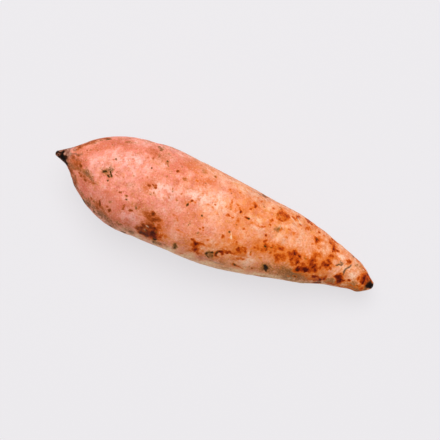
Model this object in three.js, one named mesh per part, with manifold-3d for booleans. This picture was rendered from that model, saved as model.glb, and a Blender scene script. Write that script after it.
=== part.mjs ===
// A sweet potato: one storage root with the broken vine stub at its crown and the broken root at its tail.
//
// Frame, in millimetres: +Z is up, +X runs from the crown to the tail, and +Y is to the left of that.
// The origin is on the resting surface, under the middle of the root.
import * as THREE from "three";
import { LoftGeometry } from "three/addons/geometries/LoftGeometry.js";
import { mergeVertices } from "three/addons/utils/BufferGeometryUtils.js";
import Module from "manifold-3d";

// Driving dimensions.
const LENGTH = 200;
const WIDTH = 57;
const HEIGHT = 52;

// Outline from crown to tail: x in percent of LENGTH, the left and right sides in percent of WIDTH,
// and the top and bottom in percent of HEIGHT. A bottom below 0 is pared off by the resting surface.
const OUTLINE = [
  [0.0, 2.5, -2.9, 64.0, 55.5], // rim of the stub's broken face
  [2.4, 8.0, -5.4, 66.5, 52.5], // stub
  [4.6, 14.0, -9.2, 70.5, 46.5], // neck, where the stub flares into the shoulder
  [7.0, 22.2, -18.9, 76.0, 36.0],
  [10.2, 32.0, -29.4, 82.0, 24.5], // shoulder
  [15.2, 40.6, -41.9, 89.5, 11.5],
  [22.5, 47.6, -50.8, 96.0, 2.5],
  [31.0, 50.8, -50.9, 99.5, -1.5], // widest part of the body
  [41.0, 48.4, -50.5, 100.0, -2.0],
  [51.0, 45.6, -48.8, 98.0, -1.8],
  [61.0, 41.7, -43.5, 93.0, -1.0],
  [71.0, 37.6, -35.6, 84.5, 1.5],
  [80.0, 31.1, -29.0, 72.5, 6.0],
  [88.0, 23.0, -21.2, 59.5, 11.5],
  [93.5, 16.4, -15.6, 50.5, 16.5],
  [96.2, 11.5, -14.9, 45.5, 19.5], // chin under the tail
  [98.4, 4.8, -10.9, 40.0, 23.5],
  [100.0, 0.8, -6.8, 36.0, 28.0], // rim of the tail's broken face
];

// Slow swells around the root, each [waves around, waves along, phase in turns, share of the radius].
const SWELLS = [
  [2, 1.5, 0.1, 0.011],
  [3, -2.0, 0.6, 0.009],
  [3, 3.5, 0.3, 0.006],
  [5, 1.0, 0.8, 0.005],
];

// Shallow hollows in the flesh: [x in percent of LENGTH, degrees round from the left side over the top,
// half-width along, half-width across, depth], the last three in millimetres.
const HOLLOWS = [
  [13, 132, 11, 7, 0.9],
  [17, 300, 9, 9, 0.8],
  [24, 12, 8, 10, 0.6],
  [33, 146, 8, 8, 1.0],
  [36, 222, 14, 6, 0.8],
  [48, 340, 10, 8, 0.7],
  [55, 84, 16, 7, 0.5],
  [62, 28, 5, 9, 0.9],
  [64, 196, 12, 6, 0.7],
  [73, 250, 9, 7, 0.7],
  [77, 40, 8, 7, 0.9],
  [86, 172, 8, 8, 0.9],
  [88, 318, 7, 6, 0.6],
];

const PLUMPNESS = 2.12; // exponent of the sections: 2 is an ellipse, and more is fuller at the corners
const POINTS_AROUND = 60;
const ROW_SPACING = 2.4; // the most that two sections stand apart
const ROWS_BETWEEN_STATIONS = 3; // the fewest
const TURN = 2 * Math.PI;

// Smooth curves through the outline's stations, one station to each unit of the parameter.
const stationCurves = new THREE.CubicInterpolant(
  OUTLINE.map((_, index) => index),
  OUTLINE.flat(),
  OUTLINE[0].length,
);

function outlineAt(parameter) {
  const [x, left, right, top, bottom] = stationCurves.evaluate(parameter);
  return {
    x: (x / 100) * LENGTH,
    middle: new THREE.Vector2(((left + right) / 200) * WIDTH, ((top + bottom) / 200) * HEIGHT),
    radii: new THREE.Vector2(((left - right) / 200) * WIDTH, ((top - bottom) / 200) * HEIGHT),
  };
}

// How far the swells lift the surface, as a share of the radius.
function swell(along, angle) {
  return SWELLS.reduce(
    (sum, [around, lengthwise, phase, share]) =>
      sum + share * Math.cos(around * angle + TURN * (lengthwise * along + phase)),
    0,
  );
}

// How deep the hollows are at a place, in millimetres.
function hollow(x, angle, radius) {
  return HOLLOWS.reduce((sum, [percent, degrees, halfLength, halfWidth, depth]) => {
    const turned = angle - THREE.MathUtils.degToRad(degrees);
    const across = (radius * Math.atan2(Math.sin(turned), Math.cos(turned))) / halfWidth;
    const lengthwise = (x - (percent / 100) * LENGTH) / halfLength;
    return sum + depth * Math.exp(-(across ** 2 + lengthwise ** 2));
  }, 0);
}

// One closed section, as points counted from the left side over the top.
function section(parameter) {
  const { x, middle, radii } = outlineAt(parameter);
  const along = x / LENGTH;
  return Array.from({ length: POINTS_AROUND }, (_, index) => {
    const angle = (TURN * index) / POINTS_AROUND;
    const across = Math.cos(angle);
    const up = Math.sin(angle);
    const fullness = (Math.abs(across) ** PLUMPNESS + Math.abs(up) ** PLUMPNESS) ** (-1 / PLUMPNESS);
    const meanRadius = Math.sqrt(radii.x * radii.y);
    const reach = fullness * (1 + swell(along, angle)) - hollow(x, angle, meanRadius) / meanRadius;
    return new THREE.Vector3(x, middle.x + radii.x * reach * across, middle.y + radii.y * reach * up);
  });
}

// Parameters of the sections, close enough together that no two stand more than ROW_SPACING apart.
function sectionParameters() {
  const parameters = [0];
  for (let station = 1; station < OUTLINE.length; station++) {
    const gap = ((OUTLINE[station][0] - OUTLINE[station - 1][0]) / 100) * LENGTH;
    const rows = Math.max(ROWS_BETWEEN_STATIONS, Math.ceil(gap / ROW_SPACING));
    for (let row = 1; row <= rows; row++) parameters.push(station - 1 + row / rows);
  }
  return parameters;
}

// The root before it is set down, stretched to the driving dimensions and centred over the origin.
function rootGeometry() {
  const geometry = new LoftGeometry(sectionParameters().map(section), { capStart: true, capEnd: true });
  geometry.computeBoundingBox();
  const { min, max } = geometry.boundingBox;
  geometry.translate(-(min.x + max.x) / 2, -(min.y + max.y) / 2, 0);
  return geometry.scale(LENGTH / (max.x - min.x), WIDTH / (max.y - min.y), HEIGHT / max.z);
}

// The block below the resting surface, which pares the flat spot that the root lies on.
function blockBelow() {
  const depth = HEIGHT;
  return new THREE.BoxGeometry(2 * LENGTH, 2 * WIDTH, depth).translate(0, 0, -depth / 2);
}

const wasm = await Module();
wasm.setup();

// A closed solid from the positions of a geometry alone, because normals and uvs would keep its seams apart.
function toSolid(geometry) {
  const bare = new THREE.BufferGeometry()
    .setAttribute("position", geometry.getAttribute("position"))
    .setIndex(geometry.getIndex());
  const merged = mergeVertices(bare);
  return new wasm.Manifold(
    new wasm.Mesh({
      numProp: 3,
      vertProperties: merged.attributes.position.array,
      triVerts: new Uint32Array(merged.index.array),
    }),
  );
}

function toGeometry(solid) {
  const { vertProperties, triVerts } = solid.getMesh();
  const geometry = new THREE.BufferGeometry()
    .setAttribute("position", new THREE.BufferAttribute(vertProperties, 3))
    .setIndex(new THREE.BufferAttribute(triVerts, 1));
  geometry.computeVertexNormals();
  return geometry;
}

const skin = new THREE.MeshStandardMaterial({ color: 0xdd8763, roughness: 0.55, metalness: 0 });

const sweetPotato = new THREE.Mesh(
  toGeometry(toSolid(rootGeometry()).subtract(toSolid(blockBelow()))),
  skin,
);
sweetPotato.name = "sweet_potato";

const part = new THREE.Group();
part.add(sweetPotato);

export default part;
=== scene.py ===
"""A sweet potato lying on a pale floor in soft light, seen from straight above.

The root is one skin, worked out with numpy as a surface of two parameters: rows from the broken vine
stub at the crown to the broken tail, and columns round the root from its left side over the top.
Lengths inside this file are in millimetres, and become metres where a mesh, lamp or camera is made.
"""

import math

import bpy
import numpy as np
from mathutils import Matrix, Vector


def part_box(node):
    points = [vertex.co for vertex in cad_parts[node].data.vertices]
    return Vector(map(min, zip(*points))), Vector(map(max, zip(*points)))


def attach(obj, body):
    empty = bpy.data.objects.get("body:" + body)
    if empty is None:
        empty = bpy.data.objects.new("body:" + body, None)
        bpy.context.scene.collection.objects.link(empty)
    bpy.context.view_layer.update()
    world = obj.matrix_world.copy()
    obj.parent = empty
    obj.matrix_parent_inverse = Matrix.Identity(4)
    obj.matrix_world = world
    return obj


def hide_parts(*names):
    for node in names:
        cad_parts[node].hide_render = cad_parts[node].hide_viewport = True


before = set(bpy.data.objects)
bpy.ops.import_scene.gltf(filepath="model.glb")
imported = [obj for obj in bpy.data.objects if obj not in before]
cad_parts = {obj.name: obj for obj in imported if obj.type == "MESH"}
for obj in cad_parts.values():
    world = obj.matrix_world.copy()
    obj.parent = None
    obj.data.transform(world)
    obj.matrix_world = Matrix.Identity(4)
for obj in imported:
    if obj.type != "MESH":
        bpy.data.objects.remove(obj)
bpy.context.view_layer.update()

MM = 0.001  # one millimetre in Blender's metres
TURN = 2 * math.pi

NODE = "sweet_potato"
LOW, HIGH = (np.array(corner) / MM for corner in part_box(NODE))
LENGTH, WIDTH, HEIGHT = HIGH - LOW

ROWS = 400  # rings between the two broken ends
COLUMNS = 240  # points round each ring
TOPWARD = 0.35  # how much closer together the points of a ring are over the top
CAP_ROWS = 7  # rings across each broken end
FINE_STEPS = 2000  # steps along the outline that the rings are spaced out on
FEW_COLUMNS = 24  # points round each ring while they are spaced out

# --- The root's form -------------------------------------------------------------------------------

# Outline from crown to tail: x in percent of the length, the left and right sides in percent of the
# width, and the top and bottom in percent of the height. What is below 0 lies flat on the floor.
OUTLINE = np.array([
    (0.0, 2.5, -2.9, 64.0, 55.5),  # rim of the stub's broken face
    (2.4, 8.0, -5.4, 66.5, 52.5),  # stub
    (4.6, 14.0, -9.2, 70.5, 46.5),  # neck, where the stub flares into the shoulder
    (7.0, 22.2, -18.9, 76.0, 36.0),
    (10.2, 32.0, -29.4, 82.0, 24.5),  # shoulder
    (15.2, 40.6, -41.9, 89.5, 11.5),
    (22.5, 47.6, -50.8, 96.0, 2.5),
    (31.0, 50.8, -50.9, 99.5, -1.5),  # widest part of the body
    (41.0, 48.4, -50.5, 100.0, -2.0),
    (51.0, 45.6, -48.8, 98.0, -1.8),
    (61.0, 41.7, -43.5, 93.0, -1.0),
    (71.0, 37.6, -35.6, 84.5, 1.5),
    (80.0, 31.1, -29.0, 72.5, 6.0),
    (88.0, 23.0, -21.2, 59.5, 11.5),
    (93.5, 16.4, -15.6, 50.5, 16.5),
    (96.2, 11.5, -14.9, 45.5, 19.5),  # chin under the tail
    (98.4, 4.8, -10.9, 40.0, 23.5),
    (100.0, 0.8, -6.8, 36.0, 28.0),  # rim of the tail's broken face
])

# Slow swells round the root: waves around, waves along, phase in turns, share of the radius.
SWELLS = (
    (2, 1.5, 0.1, 0.011),
    (3, -2.0, 0.6, 0.009),
    (3, 3.5, 0.3, 0.006),
    (5, 1.0, 0.8, 0.005),
)

# Shallow hollows in the flesh: x in percent of the length, degrees round from the left side over the
# top, half-width along, half-width across and depth, the last three in millimetres.
HOLLOWS = (
    (13, 132, 11, 7, 0.9),
    (17, 300, 9, 9, 0.8),
    (24, 12, 8, 10, 0.6),
    (33, 146, 8, 8, 1.0),
    (36, 222, 14, 6, 0.8),
    (48, 340, 10, 8, 0.7),
    (55, 84, 16, 7, 0.5),
    (62, 28, 5, 9, 0.9),
    (64, 196, 12, 6, 0.7),
    (73, 250, 9, 7, 0.7),
    (77, 40, 8, 7, 0.9),
    (86, 172, 8, 8, 0.9),
    (88, 318, 7, 6, 0.6),
)

# Soft lumps on the skin: height, wavelength, seed, and how much they are drawn out round the root.
LUMPS = (
    (0.14, 24, 41, 1),
    (0.08, 9, 42, 1),
    (0.04, 3.4, 43, 2.2),
)

PLUMPNESS = 2.12  # exponent of the sections: 2 is an ellipse, and more is fuller at the corners
EASING = 0.3  # height of the soft edge where the underside meets the floor
STUB_BULGE = -0.5  # how far the middle of each broken end stands out towards the tail
TAIL_BULGE = 0.6
RIDGES = 9  # low folds that fan out from the stub over the shoulder
RIDGE_HEIGHT = 0.22
PIT_DEPTHS = {"spots": 0.16, "creases": 0.32, "rust": 0.05}  # how deep the skin is where a field is 1
STUB_HOLLOW = (2.6, -0.4, 2.4, 1.3, 0, 1.0)  # the broken end of the stub, as a mark like those below
STUB_DEPTH = 0.7


def outline_at(parameter):
    """The outline between its stations: a cubic through each station whose slope there is the mean of
    the slopes on either side. One unit of the parameter leads from one station to the next."""
    slopes = np.gradient(OUTLINE, axis=0)
    station = np.clip(parameter.astype(int), 0, len(OUTLINE) - 2)
    step = (parameter - station)[:, None]
    return (
        (2 * step**3 - 3 * step**2 + 1) * OUTLINE[station]
        + (step**3 - 2 * step**2 + step) * slopes[station]
        + (3 * step**2 - 2 * step**3) * OUTLINE[station + 1]
        + (step**3 - step**2) * slopes[station + 1]
    )


def body_surface(parameter, angle):
    """The plain skin. Each section is a superellipse between its left, right, top and bottom, lifted by
    the swells, which are cosines round and along the root, and lowered by bell-shaped hollows."""
    x, left, right, top, bottom = (column[:, None] for column in outline_at(parameter).T)
    along = x / 100
    half_width = (left - right) / 200 * WIDTH
    half_height = (top - bottom) / 200 * HEIGHT
    radius = np.sqrt(half_width * half_height)
    reach = (np.abs(np.cos(angle)) ** PLUMPNESS + np.abs(np.sin(angle)) ** PLUMPNESS) ** (-1 / PLUMPNESS)
    swell = sum(
        share * np.cos(around * angle + TURN * (lengthwise * along + phase))
        for around, lengthwise, phase, share in SWELLS
    )
    hollow = sum(
        depth * np.exp(
            -(radius * np.angle(np.exp(1j * (angle - math.radians(degrees)))) / half_across) ** 2
            - ((along - percent / 100) * LENGTH / half_along) ** 2
        )
        for percent, degrees, half_along, half_across, depth in HOLLOWS
    )
    reach = reach * (1 + swell) - hollow / radius
    across = (left + right) / 200 * WIDTH + half_width * reach * np.cos(angle)
    up = (top + bottom) / 200 * HEIGHT + half_height * reach * np.sin(angle)
    return np.stack([along * LENGTH + 0 * reach, across, up], axis=-1)


def even_rings():
    """Parameters of the rings, spaced evenly by the mean distance over the skin between rings."""
    fine = np.linspace(0, len(OUTLINE) - 1, FINE_STEPS)
    rough = body_surface(fine, np.linspace(0, TURN, FEW_COLUMNS, endpoint=False))
    steps = np.linalg.norm(np.diff(rough, axis=0), axis=-1).mean(axis=1)
    travelled = np.concatenate([[0], np.cumsum(steps)])
    return np.interp(np.linspace(0, travelled[-1], ROWS), travelled, fine)


def fitted(points):
    """The skin moved and stretched to fill the frame's box for the root in length, width and height."""
    low, high = points.min(axis=(0, 1)), points.max(axis=(0, 1))
    low[2] = 0
    return LOW + (points - low) * (HIGH - LOW) / (high - low)


def directions(points):
    """Unit vectors at each point: along the root, round it, and outwards, from neighbouring points."""
    along = np.gradient(points, axis=0)
    around = np.roll(points, -1, axis=1) - np.roll(points, 1, axis=1)
    out = np.cross(around, along)
    along /= np.linalg.norm(along, axis=-1, keepdims=True)
    out /= np.linalg.norm(out, axis=-1, keepdims=True)
    return along, np.cross(out, along), out


# --- Marks on the skin -----------------------------------------------------------------------------

EYE = np.array([2.7, -0.1, 1237.0])  # where the marks are seen from, as x, y and height
MEASURED_AT = 33.4  # height at which their places are measured
CROWN_END = 0.6  # the x that the crown's end has in the tables of marks
FROM_ABOVE = np.diag([1.0, 1.0, 0.7])  # along the root, to its left, and up, which counts for less
BLEED = 0.08  # how far every mark reaches beyond the half-length and half-width given for it
BEND, BENT_UP_TO = 0.26, 3  # share of a mark's size that it is bent by, and the size where that levels off
FRAY, FRAYED_UP_TO = 0.2, 1.3  # the same for its frayed edge

# Every mark is an ellipse on the skin: x from the crown's end and y to the left as seen from above,
# half-length, half-width, all in millimetres, degrees turned from the root's length towards its left,
# and strength from 0 to 1. The rows run towards the tail, with the left and the right side apart.

# Iron-brown staining, brown on the crown and orange on the tail, nearly black where it is strong.
RUST = (
    # crown, left
    (10.4, 1.6, 1.8, 1.8, 0, 0.35), (11.4, 6.4, 1.2, 0.5, 40, 0.35), (11.6, 8.9, 1.6, 0.5, 44, 0.4),
    (12.0, 7.6, 5.0, 2.0, 42, 0.25), (12.4, 8.0, 0.6, 0.4, 30, 0.45), (12.9, 3.0, 0.9, 0.7, 0, 0.45),
    (13.0, 2.0, 6.0, 5.0, 20, 0.15), (14.6, 11.0, 5.0, 0.8, 45, 0.4), (15.8, 12.6, 2.0, 0.5, 45, 0.4),
    (16.9, 7.9, 0.4, 0.4, 0, 0.4), (18.6, 9.0, 0.4, 0.3, 0, 0.4), (19.6, 16.1, 2.8, 0.6, 42, 0.6),
    (20.8, 9.4, 0.5, 0.4, 0, 0.4), (20.9, 11.3, 0.5, 0.5, 0, 0.4), (21.1, 13.1, 0.4, 0.6, 0, 0.45),
    (22.6, 10.2, 0.5, 0.5, 0, 0.45), (24.4, 18.7, 2.2, 0.7, 38, 0.6), (27.2, 19.3, 0.8, 0.5, -20, 0.5),
    (28.4, 14.0, 0.6, 1.6, 0, 0.25), (29.4, 3.6, 1.4, 1.2, 0, 0.28), (33.1, 8.9, 0.6, 0.4, 45, 0.5),
    (36.0, 21.0, 1.1, 0.7, 30, 0.4), (37.0, 9.0, 0.4, 0.4, 0, 0.25), (38.2, 1.0, 1.8, 0.3, -15, 0.4),
    (38.6, 2.7, 0.8, 0.5, 0, 0.35), (42.0, 1.6, 0.5, 0.7, 0, 0.3), (51.0, 17.6, 0.8, 0.6, 0, 0.3),
    (52.6, 9.2, 0.6, 0.4, 0, 0.3), (54.0, 22.0, 4.0, 3.0, 0, 0.32), (54.2, 18.3, 0.9, 0.7, 0, 0.6),
    (54.8, 6.8, 0.7, 0.8, 0, 0.5), (57.8, 2.9, 0.7, 0.6, 0, 0.75),
    # crown, right
    (12.0, -6.6, 2.0, 0.6, -40, 0.45), (13.5, -0.6, 2.4, 1.6, 0, 0.3), (14.0, -7.6, 5.0, 1.6, -42, 0.4),
    (14.8, -10.6, 1.8, 0.5, -42, 0.5), (15.6, -3.0, 4.6, 2.6, -15, 0.25), (17.0, -1.7, 0.7, 0.5, 0, 0.5),
    (17.2, -1.7, 1.1, 0.5, -50, 0.55), (17.4, -6.0, 0.8, 0.4, -20, 0.5),
    (17.6, -12.4, 0.8, 1.2, -40, 0.6), (19.3, -7.1, 0.6, 0.45, -20, 0.6),
    (20.6, -15.6, 2.4, 0.5, -42, 0.4), (21.0, -7.6, 5.0, 1.6, -20, 0.3), (21.4, -6.8, 1.2, 0.8, 0, 0.35),
    (22.2, -8.4, 0.8, 0.5, -10, 0.7), (24.2, -8.0, 0.7, 0.5, 0, 0.5), (25.0, -18.6, 2.6, 0.6, -36, 0.35),
    (26.2, -8.4, 1.3, 0.7, 0, 0.45), (26.8, -13.6, 0.6, 0.4, 0, 0.3), (28.0, -8.2, 0.8, 0.5, 0, 0.45),
    (29.6, -16.8, 0.6, 0.5, 0, 0.5), (34.9, -20.9, 1.0, 0.5, 0, 0.5), (35.5, -17.8, 1.9, 0.6, -66, 0.9),
    (36.0, -20.4, 6.0, 1.8, -20, 0.4), (40.0, -18.0, 0.8, 0.5, -10, 0.6), (42.2, -19.1, 0.9, 0.8, 0, 0.9),
    (43.1, -7.2, 0.6, 0.5, 0, 0.8), (44.0, -2.7, 0.6, 0.4, 0, 0.3), (44.5, -7.3, 0.4, 0.8, 0, 0.5),
    (46.0, -22.6, 4.0, 1.2, -8, 0.25), (48.2, -8.0, 0.7, 0.6, 0, 0.8), (48.6, -16.0, 2.2, 0.9, 80, 0.55),
    (48.7, -13.6, 0.6, 0.5, 0, 0.4), (52.2, -15.0, 0.5, 0.4, 0, 0.4), (52.6, -7.4, 0.5, 0.4, 0, 0.4),
    (53.0, -22.8, 3.0, 0.9, 0, 0.35), (53.2, -14.6, 1.3, 0.6, 15, 0.6), (57.0, -11.0, 1.0, 0.6, 20, 0.45),
    (57.2, -12.6, 0.7, 0.5, 0, 0.3),
    # middle, left
    (58.8, 3.0, 3.4, 3.4, 0, 0.3), (59.5, 6.2, 3.4, 2.0, 10, 0.22), (60.0, 3.7, 0.7, 0.5, 0, 0.8),
    (61.4, 4.4, 0.7, 0.4, 0, 0.6), (62.2, 2.9, 0.6, 0.6, 0, 0.85), (62.2, 18.6, 0.6, 0.8, 0, 0.35),
    (69.4, 16.4, 0.6, 0.5, 0, 0.7), (70.6, 16.9, 0.6, 0.5, 20, 0.5), (71.1, 0.5, 0.6, 0.5, 0, 0.55),
    (71.1, 6.4, 0.4, 0.8, 0, 0.5), (74.0, 22.0, 5.0, 2.6, 0, 0.25), (75.2, 0.8, 0.6, 0.6, 0, 0.35),
    (77.3, 5.1, 0.5, 0.7, 0, 0.5), (80.0, 20.3, 2.0, 0.5, 5, 0.35), (81.2, 1.4, 0.7, 1.2, 0, 0.35),
    (82.3, 15.9, 0.9, 0.7, 0, 0.45), (82.7, 0.8, 0.4, 1.0, 0, 0.4), (83.0, 2.7, 0.6, 0.5, 0, 0.45),
    (83.9, 3.8, 0.9, 0.6, 35, 0.95), (84.0, 18.9, 0.6, 0.5, 0, 0.5), (84.0, 22.6, 1.4, 1.2, 0, 0.2),
    (86.1, 4.1, 0.7, 0.6, 0, 0.3), (91.3, 22.2, 1.0, 0.6, 0, 0.35), (93.4, 5.8, 1.1, 0.6, 0, 0.35),
    (97.0, 4.8, 0.6, 0.5, 0, 0.5), (97.6, 6.8, 0.5, 0.5, 0, 0.7), (101.0, 2.4, 0.8, 0.7, 0, 0.35),
    (102.6, 18.2, 0.8, 0.9, 0, 0.35), (103.4, 8.4, 0.9, 0.6, 0, 0.35), (105.9, 11.6, 2.4, 0.6, -58, 0.4),
    (106.6, 4.3, 1.1, 0.6, 0, 0.5), (108.1, 18.9, 0.6, 0.5, 0, 0.45), (109.2, 4.1, 0.7, 0.5, 0, 0.35),
    (109.6, 11.8, 0.7, 0.7, 0, 0.4), (109.8, 8.6, 0.8, 1.3, 0, 0.3), (111.6, 10.5, 1.0, 0.5, -40, 0.6),
    (112.6, 9.0, 0.6, 0.8, -30, 0.95), (112.6, 11.3, 0.5, 0.4, 0, 0.4), (112.8, 3.4, 0.7, 1.8, 0, 0.35),
    (116.9, 7.0, 1.0, 0.4, 0, 0.6), (117.2, 12.6, 0.8, 0.9, 0, 0.65), (117.7, 0.5, 0.6, 1.0, -25, 0.65),
    (118.2, 7.1, 0.6, 0.4, 0, 0.5), (119.0, 20.4, 0.7, 0.4, 0, 0.3), (119.2, 15.2, 1.4, 1.5, 0, 0.35),
    (119.6, 14.7, 0.5, 0.8, 0, 1.0), (121.2, 5.3, 1.2, 0.5, 10, 0.4), (121.3, 19.2, 0.5, 0.9, 0, 0.4),
    (121.6, 22.9, 1.6, 0.4, -20, 0.5), (123.2, 7.2, 0.6, 0.5, 0, 0.35), (124.0, 11.0, 0.9, 1.1, 0, 0.3),
    (124.6, 5.4, 1.0, 0.8, 0, 0.3),
    # middle, right
    (59.4, -15.0, 2.6, 1.0, 25, 0.2), (60.5, -12.6, 1.6, 0.8, 0, 0.2), (61.4, -22.6, 2.2, 1.1, 10, 0.8),
    (62.0, -0.3, 0.4, 0.8, 0, 0.5), (63.4, -24.4, 1.2, 0.9, 0, 0.7), (63.6, -15.0, 1.8, 0.7, 10, 0.45),
    (63.9, -20.3, 0.9, 0.6, 0, 0.8), (64.4, -13.0, 3.0, 1.5, 10, 0.5), (66.0, -24.4, 2.6, 1.3, 5, 0.85),
    (66.0, -14.6, 4.6, 2.8, 10, 0.24), (66.2, -11.8, 1.2, 0.8, 0, 0.75), (66.6, -19.6, 2.4, 1.6, 0, 0.35),
    (66.6, -18.6, 3.6, 2.4, 0, 0.35), (66.8, -15.6, 1.6, 0.8, 0, 0.6), (67.5, -21.5, 6.0, 3.6, 0, 0.5),
    (68.3, -19.5, 0.9, 0.8, 0, 0.9), (68.4, -18.0, 1.6, 1.4, 0, 0.5), (68.6, -22.8, 3.0, 1.6, 0, 0.75),
    (69.6, -13.8, 2.0, 1.6, 0, 0.45), (70.0, -24.0, 4.0, 2.2, 0, 0.5), (70.1, -19.2, 0.8, 1.0, 0, 0.75),
    (70.3, -21.9, 1.2, 1.1, 0, 1.0), (71.4, -19.6, 2.0, 2.0, 0, 0.4), (71.6, -16.2, 1.3, 0.6, 0, 0.5),
    (71.8, -22.6, 1.4, 1.8, 0, 0.6), (72.6, -14.6, 2.0, 1.4, 0, 0.3), (74.0, -18.0, 2.2, 1.6, 0, 0.35),
    (75.0, -21.8, 0.8, 1.6, 0, 0.5), (76.4, -23.6, 2.0, 0.9, 0, 0.3), (77.6, -21.2, 2.0, 1.0, 0, 0.3),
    (78.4, -7.8, 1.6, 0.5, 5, 0.45), (80.2, -9.4, 0.8, 0.6, -40, 0.4), (84.0, -14.7, 4.0, 0.4, -3, 0.35),
    (89.9, -26.5, 0.7, 0.4, 0, 0.5), (91.3, -1.4, 0.4, 0.8, 0, 0.35), (92.5, -16.6, 1.4, 0.5, -24, 0.8),
    (93.0, -3.3, 0.8, 0.6, 0, 0.35), (94.0, -19.5, 1.8, 1.6, 0, 0.35), (94.6, -9.3, 0.7, 0.6, 0, 0.75),
    (95.2, -17.3, 2.6, 1.1, -10, 0.55), (95.6, -21.9, 1.4, 0.5, 25, 0.6), (95.7, -7.8, 0.7, 0.5, 0, 0.7),
    (96.2, -17.9, 1.2, 0.8, 0, 1.0), (96.4, -9.6, 0.5, 0.4, 0, 0.5), (96.6, -20.8, 1.9, 2.2, 0, 0.7),
    (98.2, -22.5, 2.2, 1.2, 15, 0.6), (98.6, -17.0, 1.6, 0.7, 0, 0.35), (99.6, -20.6, 1.8, 1.0, 0, 0.35),
    (100.4, -17.0, 1.3, 0.5, 0, 0.3), (101.3, -13.8, 0.9, 0.6, 0, 0.4),
    (107.0, -14.4, 5.0, 2.6, 20, 0.18), (108.4, -8.3, 0.7, 1.2, -25, 0.7),
    (108.8, -18.2, 1.0, 1.5, 0, 0.7), (109.6, -20.4, 0.9, 0.4, 0, 0.5), (110.3, -16.8, 1.7, 0.5, 22, 0.9),
    (112.2, -17.8, 0.9, 1.0, 0, 0.6), (114.6, -15.5, 3.8, 0.8, 4, 0.65), (115.0, -7.4, 3.4, 2.2, 0, 0.25),
    (117.2, -8.6, 0.8, 0.9, 0, 0.4), (117.6, -15.2, 1.0, 0.6, 0, 0.3), (118.8, -11.4, 0.9, 0.8, 0, 0.9),
    (119.4, -18.0, 1.6, 0.5, 0, 0.35), (119.4, -12.8, 1.6, 0.9, 0, 0.7),
    (121.0, -21.0, 2.0, 0.6, -8, 0.45), (121.0, -10.5, 1.8, 1.0, 15, 0.55),
    (121.4, -16.8, 2.4, 0.6, 14, 0.4), (122.6, -9.6, 1.5, 0.6, 10, 0.5), (123.7, -11.1, 0.8, 1.3, 0, 0.7),
    (124.0, -16.2, 0.8, 0.5, 0, 0.35), (124.6, -21.0, 2.0, 0.4, 0, 0.35),
    # tail, left
    (127.9, 5.5, 1.6, 0.4, 20, 0.55), (129.6, 18.0, 0.9, 0.4, 0, 0.35), (131.3, 1.7, 0.6, 0.6, 0, 1.0),
    (131.3, 8.4, 0.7, 0.5, 0, 0.6), (131.4, 10.9, 1.1, 0.9, 0, 0.5), (133.4, 15.2, 0.7, 1.8, 0, 0.5),
    (134.4, 17.6, 1.4, 1.4, 0, 0.4), (135.4, 13.6, 0.9, 0.5, 0, 0.55), (135.8, 16.2, 2.6, 1.8, -25, 0.35),
    (136.0, 17.0, 3.4, 1.7, -25, 0.35), (136.2, 15.4, 3.4, 2.4, -20, 0.15),
    (136.8, 12.8, 0.6, 0.4, 0, 0.55), (138.0, 8.6, 0.8, 1.2, 0, 0.4), (138.6, 14.5, 0.8, 0.5, 0, 0.6),
    (138.8, 16.2, 1.4, 1.0, -30, 0.45), (142.4, 10.0, 1.1, 0.5, 0, 0.4),
    (142.6, 16.8, 1.9, 0.6, -28, 0.45), (142.9, 5.4, 0.8, 0.5, 0, 0.3), (144.4, 17.8, 2.0, 0.8, -50, 0.5),
    (144.9, 19.0, 0.9, 0.7, 0, 0.5), (145.6, 9.0, 0.7, 1.2, 0, 0.4), (147.2, 15.2, 1.0, 0.7, 0, 0.4),
    (149.0, 7.8, 0.9, 0.6, 0, 0.25), (150.1, 0.0, 1.0, 1.2, 0, 0.6), (151.0, 14.4, 0.5, 0.8, 0, 0.4),
    (151.4, 18.9, 3.6, 0.4, -14, 0.6), (152.0, 14.8, 1.5, 1.1, 0, 0.4), (157.0, 17.4, 2.4, 0.4, -10, 0.3),
    (157.9, 7.6, 0.8, 0.8, 0, 0.35), (158.2, 11.8, 0.8, 0.6, 0, 0.55), (159.3, 11.2, 0.8, 0.9, 0, 0.45),
    (159.3, 15.2, 0.9, 0.7, 0, 0.55), (159.6, 9.3, 0.6, 1.0, 0, 0.6), (160.9, 1.0, 1.0, 1.4, 0, 0.35),
    (161.0, 11.0, 1.6, 2.2, 0, 0.35), (162.8, 6.6, 0.8, 0.6, 0, 0.25), (162.8, 14.8, 0.7, 0.8, 0, 0.35),
    (163.2, 2.8, 1.7, 1.2, 0, 0.45), (168.0, 12.4, 1.7, 1.3, -20, 0.5), (168.4, 12.4, 2.2, 1.2, -30, 0.4),
    (169.4, 13.8, 2.4, 0.4, -18, 0.6), (170.2, 4.7, 0.7, 0.6, 0, 0.4), (170.4, 10.8, 0.9, 1.0, 0, 0.5),
    (170.6, 0.0, 3.0, 2.2, 0, 0.3), (170.8, 9.2, 1.0, 0.9, 0, 0.5), (171.3, 5.7, 1.1, 1.0, 0, 0.6),
    (171.6, 1.6, 1.6, 0.6, 0, 0.45), (172.0, 8.2, 1.8, 1.0, 0, 0.3), (173.2, 9.4, 1.3, 0.6, -10, 0.6),
    (174.4, 0.6, 1.0, 0.6, 0, 0.3), (175.0, 6.0, 1.4, 1.0, 0, 0.1), (176.5, 9.0, 1.2, 0.8, 0, 0.2),
    (181.7, 6.1, 1.3, 1.2, 0, 0.65), (186.0, 8.8, 2.0, 0.4, -20, 0.3), (191.3, 5.6, 1.3, 0.3, -30, 0.6),
    (193.0, 0.0, 2.4, 2.6, 0, 0.35), (193.3, 1.7, 1.0, 0.8, 0, 0.2), (194.6, 3.2, 1.6, 0.6, -38, 0.6),
    (197.4, 1.2, 1.4, 0.3, -34, 0.6),
    # tail, right
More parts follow.
